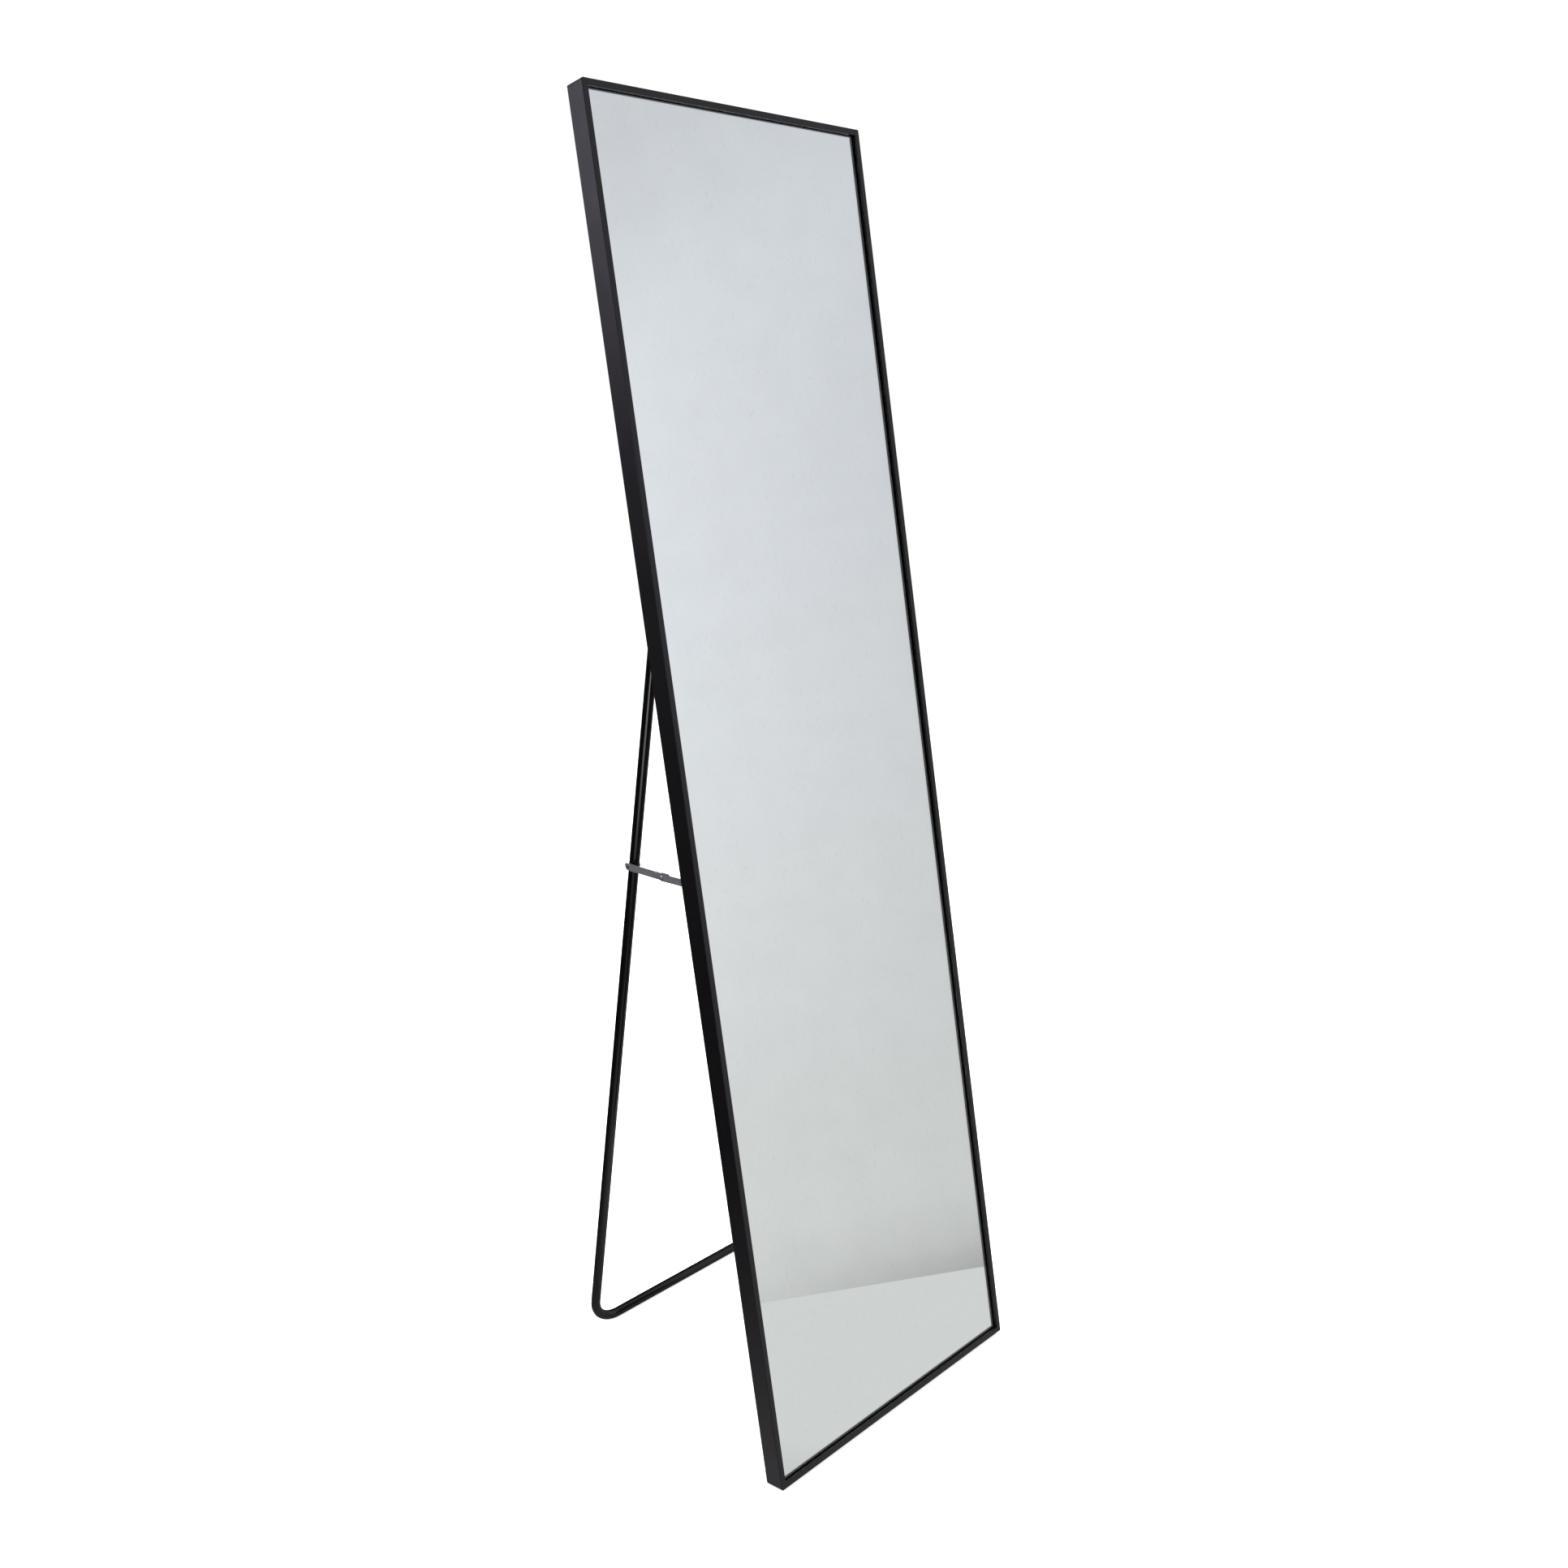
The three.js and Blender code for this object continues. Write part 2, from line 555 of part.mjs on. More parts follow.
function buildLeg(panel) {
  const leg = new THREE.Group();
  leg.position.set(0, hingeY, HINGE_HEIGHT);
  leg.rotation.x = LEG_OPEN;
  panel.add(leg);

  const crossHole = (side, boltRadius, z) => (
    rodAlongX(boltRadius + RUNNING, side * (tubeInner - 1), side * (tubeOuter + 1), 0, z)
  );
  const tube = subtract(
    legRod(TUBE_RADIUS, 0),
    legRod(TUBE_RADIUS - TUBE_WALL, 1),
    crossHole(-1, HINGE_BOLT_RADIUS, 0),
    crossHole(1, HINGE_BOLT_RADIUS, 0),
    crossHole(-1, STAY_RIVET_RADIUS, -STAY_FROM_HINGE),
  );
  piece(leg, 'leg_tube', tube, tubeBlack());

  const plug = TUBE_RADIUS - TUBE_WALL - GAP;
  for (const [name, side] of [['left', -1], ['right', 1]]) {
    const cap = turned([
      [0, -5], [plug, -5], [plug, GAP], [TUBE_RADIUS, GAP], [TUBE_RADIUS, GAP + 1],
      [TUBE_RADIUS * 0.8, GAP + 2], [0, GAP + 2.4],
    ]);
    cap.rotateX(Math.PI / 2);
    piece(leg, `leg_end_cap_${name}`, cap, nylonBlack()).position.set(side * tubeX, 0, LEG_TOP);
  }

  // Stay pivot across the left tube. The links fold past its outer end, so the rivet stops short of them.
  const pivot = new THREE.Group();
  pivot.position.z = -STAY_FROM_HINGE;
  leg.add(pivot);
  const spacerOuter = tubeOuter + SPACER_RISE;
  const bore = STAY_RIVET_RADIUS + RUNNING;
  const tubeRoom = new THREE.CylinderGeometry(TUBE_RADIUS + GAP, TUBE_RADIUS + GAP, 4 * SPACER_RADIUS, 40);
  tubeRoom.rotateX(Math.PI / 2).translate(-tubeX, 0, 0);
  const saddle = subtract(
    rodAlongX(SPACER_RADIUS, -spacerOuter, -tubeOuter + SPACER_WRAP),
    rodAlongX(bore, -spacerOuter - 1, -tubeX),
    tubeRoom,
  );
  piece(pivot, 'stay_spacer', saddle, nylonBlack());
  const tail = tubeInner - GAP;
  const shank = turned([
    [0, -spacerOuter], [STAY_RIVET_RADIUS, -spacerOuter], [STAY_RIVET_RADIUS, -tail],
    [PIVOT_TAIL_RADIUS, -tail], [PIVOT_TAIL_RADIUS * 0.92, PIVOT_TAIL * 0.5 - tail],
    [PIVOT_TAIL_RADIUS * 0.6, PIVOT_TAIL - tail], [0, PIVOT_TAIL - tail],
  ]);
  piece(pivot, 'stay_pivot_rivet', shank.rotateZ(-Math.PI / 2), bracketBlack());
}

// ---------------------------------------------------------------- folding stay

// A semi-tubular rivet along +X: its rolled end, with the bore's dimple in it, sits at x = 0. With a tail,
// its other end is headed too.
function rivet(length, tail) {
  const rolled = [
    [0, -0.1], [0.3, -0.1], [0.34, -0.85], [0.55, -1], [0.8, -0.8], [0.95, -0.4], [1, 0],
  ];
  const profile = rolled.map(([r, x]) => [r * RIVET_HEAD_RADIUS, x * RIVET_DOME]);
  profile.push([STAY_RIVET_RADIUS, 0], [STAY_RIVET_RADIUS, length]);
  if (tail > 0) {
    profile.push([RIVET_TAIL_RADIUS, length], [RIVET_TAIL_RADIUS, length + tail]);
  }
  profile.push([0, length + tail]);
  return turned(profile, 20).rotateZ(-Math.PI / 2);
}

const RIVET_HEAD_RADIUS = 2.7;
const RIVET_DOME = 1.1;
const RIVET_TAIL_RADIUS = 2.5;
const RIVET_TAIL = 0.9;
const STAY_END = 5.4; // the leg link beyond its leg pivot
const STAY_END_TOP = 1.6; // its end is cropped square above and rounded below
const STAY_END_LOW = 4.6;
const FINGER_REACH = 11; // the stop finger beyond the elbow
const FINGER_START = 9; // it starts outside the circle that the thumb tab sweeps
const FINGER_PLATE = 1.2;
const FINGER_NOTCH = 1.2; // the leg link's upper edge is notched this deep to take it
const NOTCH_PLAY = 0.6;
const FINGER_SLOPE = 0.6; // its outer face leans in from this far below the link's upper edge
const TAB_BACK = 8.2; // the thumb tab beyond the elbow
const TAB_FRONT = 4;
const TAB_RISE = 0.4;
const TAB_INBOARD = 1.3; // the thumb tab is bent towards the tube

// Both links are drawn with y along the link from their first pivot and z towards their upper edge.
function frameLink() {
  const w = STAY_HALF_WIDTH;
  const end = STAY_FRAME_LINK;
  const top = w + GAP + Math.tan(STAY_OVERCENTRE) * FINGER_REACH + FINGER_PLATE - FINGER_NOTCH;
  const outline = new THREE.Shape([
    ...arc(0, 0, w, 90, 270, 10),
    ...arc(end, 0, w, 270, 375, 6),
    point(end + FINGER_REACH - 0.8, w - 0.6),
    point(end + FINGER_REACH, w + 0.2),
    point(end + FINGER_REACH, top),
    point(end + FINGER_START, top),
    point(end + FINGER_START - 1, w),
  ]);
  const outer = -(frameLinkInner + STAY_PLATE);
  const fingerSpan = 2 * STAY_PLATE + GAP; // across this link and over the other
  const stop = new THREE.BoxGeometry(fingerSpan, FINGER_REACH - FINGER_START, FINGER_PLATE);
  stop.translate(outer + fingerSpan / 2, end + (FINGER_REACH + FINGER_START) / 2, top - FINGER_PLATE / 2);
  const slope = new THREE.BoxGeometry(6, 6, 6);
  slope.translate(-3, 0, 0);
  slope.rotateY(Math.PI / 4);
  slope.translate(outer, end + FINGER_START + 2, w - FINGER_SLOPE);
  const bore = STAY_RIVET_RADIUS + RUNNING;
  return subtract(
    join(plateAlongX(outline, outer, -frameLinkInner), stop),
    slope,
    rodAlongX(bore, outer - 1, -frameLinkInner + 1),
    rodAlongX(bore, outer - 1, -frameLinkInner + 1, end),
  );
}

const FLUSH_HEAD_RADIUS = 1.3; // the stay's leg pivot ends flush with the link

function legLink() {
  const w = STAY_HALF_WIDTH;
  const end = STAY_LEG_LINK + STAY_END;
  const outline = new THREE.Shape([
    point(-TAB_BACK, w + TAB_RISE),
    point(-TAB_BACK, w - 1),
    point(-w - 1.5, -0.5),
    ...arc(0, 0, w, 200, 270, 5),
    ...arc(end - STAY_END_LOW, STAY_END_LOW - w, STAY_END_LOW, 270, 360, 8),
    ...arc(end - STAY_END_TOP, w - STAY_END_TOP, STAY_END_TOP, 0, 90, 4),
    point(TAB_FRONT + 1, w),
    point(TAB_FRONT, w + TAB_RISE),
  ]);
  const inner = -legLinkInner;
  const tab = new THREE.BoxGeometry(STAY_PLATE + TAB_INBOARD, TAB_BACK + TAB_FRONT, STAY_PLATE);
  tab.translate(
    inner + (TAB_INBOARD - STAY_PLATE) / 2,
    (TAB_FRONT - TAB_BACK) / 2,
    w + TAB_RISE - STAY_PLATE / 2,
  );
  const notch = new THREE.BoxGeometry(2 * STAY_PLATE + 2, FINGER_REACH - FINGER_START + 2 * NOTCH_PLAY, 4);
  notch.translate(inner - STAY_PLATE / 2, (FINGER_REACH + FINGER_START) / 2, w - FINGER_NOTCH + 2);
  return subtract(
    join(plateAlongX(outline, inner - STAY_PLATE, inner), tab),
    notch,
    rodAlongX(STAY_RIVET_RADIUS + RUNNING, inner - STAY_PLATE - 1, inner + 3),
    rodAlongX(FLUSH_HEAD_RADIUS + RUNNING, inner - STAY_PLATE - 1, inner + 1, STAY_LEG_LINK),
  );
}

function buildStay(panel) {
  const bracketPlace = new THREE.Group();
  bracketPlace.position.set(0, 0, framePivot.y);
  panel.add(bracketPlace);
  const bracket = angleBracket(-1, {
    outer: halfWidth - STAY_BRACKET_EDGE,
    inner: stayEarInner,
    plate: STAY_PLATE,
    pivotY: framePivot.x,
    low: STAY_BRACKET_LOW,
    high: STAY_BRACKET_HIGH,
    earRadius: STAY_EAR_RADIUS,
    holeRadius: STAY_RIVET_RADIUS + RUNNING,
    screwHeights: STAY_SCREWS,
  });
  piece(bracketPlace, 'stay_bracket', bracket, bracketBlack());
  const headSeat = stayEarInner + STAY_PLATE + GAP;
  const flush = headSeat - frameLinkInner - RUNNING; // ends just inside the frame link
  const pin = piece(bracketPlace, 'stay_bracket_rivet', rivet(flush, 0), zincSteel());
  pin.position.set(-headSeat, framePivot.x, 0);

  const frameArm = new THREE.Group();
  frameArm.position.set(0, framePivot.x, framePivot.y);
  frameArm.rotation.x = frameLinkAngle;
  panel.add(frameArm);
  piece(frameArm, 'stay_frame_link', frameLink(), zincSteel());
  const elbowSeat = frameLinkInner + STAY_PLATE + GAP;
  const elbowRivet = rivet(elbowSeat - legLinkInner + GAP, RIVET_TAIL);
  piece(frameArm, 'stay_elbow_rivet', elbowRivet, zincSteel()).position.set(-elbowSeat, STAY_FRAME_LINK, 0);

  const legArm = new THREE.Group();
  legArm.position.set(0, elbow.x, elbow.y);
  legArm.rotation.x = legLinkAngle;
  panel.add(legArm);
  piece(legArm, 'stay_leg_link', legLink(), zincSteel());
  const flushHead = rodAlongX(FLUSH_HEAD_RADIUS, -(legLinkInner + STAY_PLATE), -legLinkInner, STAY_LEG_LINK);
  piece(legArm, 'stay_pivot_head', flushHead, bracketBlack());
}

// ---------------------------------------------------------------- the whole mirror

const mirror = new THREE.Group();
const panel = new THREE.Group();
panel.rotation.x = -lean;
panel.position.set(0, -reach / 2, -worldZ(PAD_BACK, padBottom));
mirror.add(panel);

const bracketScrews = listBracketScrews();
buildFrame(panel, bracketScrews);
buildPanelLayers(panel);
buildFloorPads(panel);
buildBracketScrews(panel, bracketScrews);
buildHinge(panel, 'left', -1);
buildHinge(panel, 'right', 1);
buildLeg(panel);
buildStay(panel);

export default mirror;
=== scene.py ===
# %% [markdown]
# # Leaning floor mirror
#
# A tall mirror in a slim black aluminium frame. It leans back on a U-shaped tube leg that is hinged behind
# it, and a small folding stay on its left side locks the leg open. This notebook dresses the CAD frame:
# smooth tube, rolled and bevelled edges, real screw recesses, silvered glass and the finish of every part.
#
# ## The CAD frame
# The imported model comes first. Everything made here has to stay inside it.

import json
import math

import bmesh
import bpy
from mathutils import Matrix, Vector
from mathutils.geometry import tessellate_polygon


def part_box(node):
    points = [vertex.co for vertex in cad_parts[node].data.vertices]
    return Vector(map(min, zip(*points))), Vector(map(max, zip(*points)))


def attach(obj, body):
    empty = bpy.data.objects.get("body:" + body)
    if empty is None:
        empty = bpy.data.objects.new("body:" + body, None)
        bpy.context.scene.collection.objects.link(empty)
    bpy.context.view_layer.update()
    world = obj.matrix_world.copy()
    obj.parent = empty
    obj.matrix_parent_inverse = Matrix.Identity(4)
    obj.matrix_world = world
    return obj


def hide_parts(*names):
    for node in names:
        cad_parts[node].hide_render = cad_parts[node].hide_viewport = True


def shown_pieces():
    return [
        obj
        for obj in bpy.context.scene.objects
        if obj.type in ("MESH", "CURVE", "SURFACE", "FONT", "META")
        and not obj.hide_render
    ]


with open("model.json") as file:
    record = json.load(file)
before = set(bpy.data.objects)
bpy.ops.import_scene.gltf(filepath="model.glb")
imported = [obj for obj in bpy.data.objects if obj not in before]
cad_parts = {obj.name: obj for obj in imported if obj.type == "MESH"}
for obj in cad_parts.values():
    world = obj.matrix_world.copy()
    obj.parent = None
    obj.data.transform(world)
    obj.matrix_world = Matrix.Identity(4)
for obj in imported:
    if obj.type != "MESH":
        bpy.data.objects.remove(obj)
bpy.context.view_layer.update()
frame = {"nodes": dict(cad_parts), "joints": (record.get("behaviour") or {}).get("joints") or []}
scene = bpy.context.scene

# %% [markdown]
# ## Places
# All lengths are in millimetres until a mesh is finished. Parts are drawn upright, in *panel coordinates*:
# x to the right, y the depth behind the frame's front, z the height above its bottom edge. `PANEL` leans them
# back so that their hinge meets the CAD's hinge, `LEG` runs down the open leg from its hinge axis, and
# `LEG_PIVOT` is where the stay turns on the leg.

# %% Panel, leg and stay axes
LEAN = math.radians(10.58304)
LEG_OPEN = math.radians(20.29)
FRAME_WIDTH, FRAME_HEIGHT, FRAME_DEPTH = 400, 1500, 25
HINGE = Vector((0, 33.5, 1007))
LEG_LENGTH, LEG_TOP, LEG_SPACING, LEG_BEND = 998, 12, 330, 40
TUBE_RADIUS, TUBE_WALL = 6, 1.2
STAY_FROM_HINGE = 330
SIDES = (("left", -1), ("right", 1))

joint_places = {joint["name"]: Vector(joint["pos_m"]) for joint in frame["joints"]}
elbow, frame_pivot = joint_places["stay_elbow"], joint_places["stay_frame_pivot"]

MM = Matrix.Scale(0.001, 4)
leaning = Matrix.Rotation(-LEAN, 4, "X") @ MM
PANEL = Matrix.Translation(joint_places["leg_fold"] - leaning @ HINGE) @ leaning
LEG = PANEL @ Matrix.Translation(HINGE) @ Matrix.Rotation(LEG_OPEN, 4, "X")
LEG_PIVOT = LEG @ Vector((0, 0, -STAY_FROM_HINGE))
print("leg ends on the floor at y =", round((LEG @ Vector((0, 0, -LEG_LENGTH))).y, 4), "m")

# %% [markdown]
# ## Helpers for meshes
# `build` turns a bmesh into a finished piece: it goes into world metres, its normals face out, its flat faces
# shade flat and its rounded ones smooth, and it rides on its body in place of the CAD nodes it stands for.

# %% Mesh helpers
SMOOTH_ANGLE, BEVEL_ANGLE = math.radians(32), math.radians(28)
BEVEL_SEGMENTS = 3
FLAT_ANGLE = math.radians(1.5)
WELD, MESH_WELD = 1e-7, 2e-6  # for what is drawn here, and for meshes from the CAD or a tree


def new_object(name, data):
    """An object that shows this mesh, camera or light, linked to the scene."""
    obj = bpy.data.objects.new(name, data)
    scene.collection.objects.link(obj)
    return obj


def apply_modifiers(obj):
    """Keeps the mesh that the modifiers of obj make, and removes them."""
    depsgraph = bpy.context.evaluated_depsgraph_get()
    mesh = bpy.data.meshes.new_from_object(obj.evaluated_get(depsgraph))
    obj.modifiers.clear()
    obj.data = mesh


def finish_mesh(obj, bevel=0.0):
    """Bevels the sharp edges of obj, in metres, and shades its large faces flat up to the rounding."""
    if bevel:
        rounding = obj.modifiers.new("rounded edges", "BEVEL")
        rounding.width = bevel
        rounding.segments = BEVEL_SEGMENTS
        rounding.limit_method = "ANGLE"
        rounding.angle_limit = BEVEL_ANGLE
    obj.data.shade_smooth()
    even = obj.modifiers.new("even shading", "WEIGHTED_NORMAL")
    even.keep_sharp = True
    if not bevel:
        obj.data.set_sharp_from_angle(angle=SMOOTH_ANGLE)
    apply_modifiers(obj)


def build(bm, name, body, nodes, finishes, place=None, bevel=0.0):
    """Makes the bmesh a piece of the object: body and nodes are names, finishes are its materials."""
    if place is not None:
        bm.transform(place)
    bmesh.ops.remove_doubles(bm, verts=bm.verts, dist=WELD)
    bmesh.ops.recalc_face_normals(bm, faces=bm.faces)
    mesh = bpy.data.meshes.new(name)
    bm.to_mesh(mesh)
    bm.free()
    for material in finishes:
        mesh.materials.append(material)
    obj = new_object(name, mesh)
    finish_mesh(obj, bevel)
    settle(obj, body, nodes)


def settle(obj, body, nodes):
    """Ties a finished piece to its CAD body and the nodes it stands for."""
    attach(obj, body)
    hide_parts(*nodes)


def dressed(node, name, body, finish, bevel):
    """A copy of a CAD node's shape, its flat sides merged to single faces, with edges rounded by bevel mm."""
    bm = bmesh.new()
    bm.from_mesh(frame["nodes"][node].data)
    bmesh.ops.remove_doubles(bm, verts=bm.verts, dist=MESH_WELD)
    bmesh.ops.dissolve_limit(bm, angle_limit=FLAT_ANGLE, verts=bm.verts, edges=bm.edges, delimit={"NORMAL"})
    build(bm, name, body, [node], [finish], bevel=bevel * 0.001)


def arc(cx, cy, radius, start, end, steps):
    """Points on an arc, its angles in degrees."""
    angles = [math.radians(start + (end - start) * i / steps) for i in range(steps + 1)]
    return [(cx + radius * math.cos(a), cy + radius * math.sin(a)) for a in angles]


# %% [markdown]
# ## Turned parts
# Screws, bolts, nuts, washers and rivets are all made of rings round an axis. A ring is round, hexagonal
# (a nut, a socket) or a cross (a screwdriver recess), so one function turns them all, recesses included.

# %% Rings and turned parts
ROUND_STEPS = 48


def ring_radius(kind, size, angle):
    """A ring's distance from its axis. size is its radius, half across flats, or (reach, half arm)."""
    if kind == "round":
        return size
    if kind == "hex":
        inner = (angle % (math.pi / 3)) - math.pi / 6
        return size / math.cos(inner)
    reach, half_arm = size
    inner = (angle + math.pi / 4) % (math.pi / 2) - math.pi / 4
    side = half_arm / max(abs(math.sin(inner)), 1e-6)
    return min(reach / math.cos(inner), side)


def turned(rings, steps=ROUND_STEPS):
    """A closed bmesh along +X from (x, kind, size) rings, capped at both ends."""
    bm = bmesh.new()
    loops = []
    for x, kind, size in rings:
        loop = []
        for k in range(steps):
            angle = 2 * math.pi * (k + 0.5) / steps
            radius = ring_radius(kind, size, angle)
            loop.append(bm.verts.new((x, radius * math.cos(angle), radius * math.sin(angle))))
        loops.append(loop)
    for low, high in zip(loops, loops[1:]):
        for k in range(steps):
            following = (k + 1) % steps
            bm.faces.new((low[k], low[following], high[following], high[k]))
    bm.faces.new(loops[0])
    bm.faces.new(reversed(loops[-1]))
    return bm


def tube_ring(radius, bore, x0, x1, chamfer):
    """A washer along X, its outer edges chamfered, as a closed bmesh."""
    rings = [
        (x0, "round", bore), (x0, "round", radius - chamfer), (x0 + chamfer, "round", radius),
        (x1 - chamfer, "round", radius), (x1, "round", radius - chamfer), (x1, "round", bore),
    ]
    return open_bore(turned(rings))


def open_bore(bm):
    """Swaps the two end caps of a turned part for the wall of its bore."""
    caps = [face for face in bm.faces if len(face.verts) == ROUND_STEPS]
    bmesh.ops.delete(bm, geom=caps, context="FACES_ONLY")
    rims = [edge for edge in bm.edges if edge.is_boundary]
    bmesh.ops.bridge_loops(bm, edges=rims)
    return bm


# %% [markdown]
# ## Helpers for materials
# Every finish is procedural. A pattern's scale comes from a real length in millimetres, and a colour is given
# as the sRGB hex that a colour picker would show.

# %% Material helpers
def linear(hex_colour):
    """An sRGB hex colour, such as "#1d1d1f", as a linear RGBA tuple."""
    channels = [int(hex_colour[i:i + 2], 16) / 255 for i in (1, 3, 5)]
    return tuple(c / 12.92 if c <= 0.04045 else ((c + 0.055) / 1.055) ** 2.4 for c in channels) + (1.0,)


def add_node(tree, kind, inputs=None, **settings):
    """Adds a node. settings are its properties, inputs its sockets' values or the sockets they come from."""
    node = tree.nodes.new(kind)
    for key, value in settings.items():
        setattr(node, key, value)
    for key, value in (inputs or {}).items():
        if isinstance(value, bpy.types.NodeSocket):
            tree.links.new(value, node.inputs[key])
        else:
            node.inputs[key].default_value = value
    return node


def start_material(name, **uniform):
    """A material with one Principled shader: returns it, its tree, the shader and Object coordinates."""
    material = bpy.data.materials.new(name)
    material.use_nodes = True
    tree = material.node_tree
    tree.nodes.clear()
    shader = add_node(tree, "ShaderNodeBsdfPrincipled")
    for key, value in uniform.items():
        shader.inputs[key.replace("_", " ")].default_value = value
    add_node(tree, "ShaderNodeOutputMaterial", {"Surface": shader.outputs[0]})
    where = add_node(tree, "ShaderNodeTexCoord").outputs["Object"]
    return material, tree, shader, where


def pattern(tree, where, size_mm, detail=2.0, stretch=(1, 1, 1)):
    """A soft pattern whose features are about size_mm large. stretch draws them out along an axis."""
    drawn = add_node(tree, "ShaderNodeMapping", {"Vector": where, "Scale": [1 / s for s in stretch]})
    inputs = {"Vector": drawn.outputs[0], "Scale": 1000 / size_mm, "Detail": detail}
    return add_node(tree, "ShaderNodeTexNoise", inputs).outputs["Fac"]


def spread(tree, value, low, high, start=0.3, end=0.7):
    """Maps value from start..end, which is where a pattern mostly lies, to low..high."""
    inputs = {"Value": value, "From Min": start, "From Max": end, "To Min": low, "To Max": high}
    return add_node(tree, "ShaderNodeMapRange", inputs).outputs["Result"]


def tint(tree, factor, first, second):
    """A colour between two hex colours."""
    mix = add_node(tree, "ShaderNodeMix", {0: factor, 6: linear(first), 7: linear(second)}, data_type="RGBA")
    return mix.outputs[2]


def raise_bumps(tree, shader, height, depth_mm, strength):
    """Lets height dent the surface by depth_mm."""
    inputs = {"Height": height, "Distance": depth_mm * 0.001, "Strength": strength}
    bump = add_node(tree, "ShaderNodeBump", inputs)
    tree.links.new(bump.outputs["Normal"], shader.inputs["Normal"])


# %% [markdown]
# ## Camera
# The photo was taken at about chest height, from the front left and quite close, so the tall frame tapers.
# The place and the lens were solved from the frame's corners: 32.9 mm on a 36 mm square picture.

# %% Camera
FORWARD = Vector((0.69194, 0.67435, -0.25784))
RIGHT = Vector((0.69860, -0.71551, 0.00344))
CAMERA_PLACE = Vector((-1.13416, -1.14392, 1.18055))
camera_data = bpy.data.cameras.new("photo_camera")
camera_data.sensor_width = 36
camera_data.lens = 32.887
camera_data.shift_x, camera_data.shift_y = -0.01594, -0.00384
camera_data.clip_start, camera_data.clip_end = 0.05, 60
camera = new_object("photo_camera", camera_data)
axes = Matrix((RIGHT, RIGHT.cross(FORWARD), -FORWARD)).transposed()
camera.matrix_world = Matrix.Translation(CAMERA_PLACE) @ axes.to_4x4()
scene.camera = camera
print("camera looks down by", round(math.degrees(math.asin(-FORWARD.z)), 1), "degrees")

# %% [markdown]
# ## Finishes
# ### Powder-coated aluminium
# The frame's rails are extruded aluminium, sprayed with satin black polyester powder and baked. Baked powder
# levels into a very fine orange peel, which breaks up the sheen. A slow mottle stands for uneven thickness.

# %% Powder-coated aluminium
powder_coat, tree, shader, where = start_material(
    "powder_coated_aluminium", Specular_IOR_Level=0.32, Specular_Tint=linear("#fff6ff")
)
sheen = pattern(tree, where, 60, 2)
tree.links.new(tint(tree, sheen, "#0b0a0d", "#0e0d10"), shader.inputs["Base Color"])
tree.links.new(spread(tree, sheen, 0.34, 0.40), shader.inputs["Roughness"])
raise_bumps(tree, shader, pattern(tree, where, 0.7, 3), 0.004, 0.5)
print("made", powder_coat.name)

# %% [markdown]
# ### Gloss black lacquer
# The leg is steel tube, dipped and baked in gloss black enamel. It runs a little along the tube, so the
# highlight wavers slowly down its length.

# %% Gloss black lacquer
gloss_black, tree, shader, where = start_material("gloss_black_lacquer", Specular_IOR_Level=0.5)
runs = pattern(tree, where, 9, 2, (1, 1, 5))
tree.links.new(tint(tree, runs, "#060607", "#09090a"), shader.inputs["Base Color"])
tree.links.new(spread(tree, runs, 0.12, 0.18), shader.inputs["Roughness"])
raise_bumps(tree, shader, runs, 0.01, 0.5)
print("made", gloss_black.name)

# %% [markdown]
# ### Satin black steel and black zinc
# The brackets are bent sheet steel, coated satin black before assembly. Their screws, bolts and nuts are
# plated with black zinc, which stays metallic under its dark film and shows tumbling marks from the barrel.

# %% Satin black steel, black zinc
satin_black, tree, shader, where = start_material("satin_black_coated_steel", Specular_IOR_Level=0.5)
coat = pattern(tree, where, 12, 3)
tree.links.new(tint(tree, coat, "#131315", "#1a1a1c"), shader.inputs["Base Color"])
tree.links.new(spread(tree, coat, 0.34, 0.46), shader.inputs["Roughness"])
raise_bumps(tree, shader, pattern(tree, where, 0.5, 2), 0.008, 0.5)

black_zinc, tree, shader, where = start_material("black_zinc_plating", Metallic=0.75)
marks = pattern(tree, where, 1.4, 4)
tree.links.new(tint(tree, marks, "#202022", "#34343a"), shader.inputs["Base Color"])
tree.links.new(spread(tree, marks, 0.28, 0.44), shader.inputs["Roughness"])
raise_bumps(tree, shader, marks, 0.01, 0.4)
print("made", satin_black.name, "and", black_zinc.name)

# %% [markdown]
# ### Dull zinc strip steel
# The stay's links are stamped from cold-rolled strip and zinc plated. Rolling leaves fine lines along the
# strip, and the plating dulls to a soft grey with a cloudy bloom. The rivets keep a brighter plating.

# %% Dull zinc strip steel
zinc_steel, tree, shader, where = start_material("zinc_plated_strip_steel", Metallic=0.55)
lines = pattern(tree, where, 0.35, 3, (1, 30, 1))
bloom = pattern(tree, where, 7, 3)
tree.links.new(tint(tree, bloom, "#68696d", "#88898d"), shader.inputs["Base Color"])
tree.links.new(spread(tree, bloom, 0.42, 0.56), shader.inputs["Roughness"])
raise_bumps(tree, shader, lines, 0.006, 0.5)

bright_zinc, tree, shader, where = start_material("bright_zinc_rivets", Metallic=1.0)
marks = pattern(tree, where, 1.2, 3)
tree.links.new(tint(tree, marks, "#a9abaf", "#c9cbce"), shader.inputs["Base Color"])
tree.links.new(spread(tree, marks, 0.22, 0.34), shader.inputs["Roughness"])
print("made", zinc_steel.name, "and", bright_zinc.name)

# %% [markdown]
# ### Float glass and silver
# A mirror is a sheet of clear float glass with a silver film on its back. The film is a face of the
# pane itself, so light passes the glass twice, and the lip is mirrored at the depth of the silver. Copper
# and paint protect it from behind, hidden here by the foam. Faint wipe marks break up the even reflection.

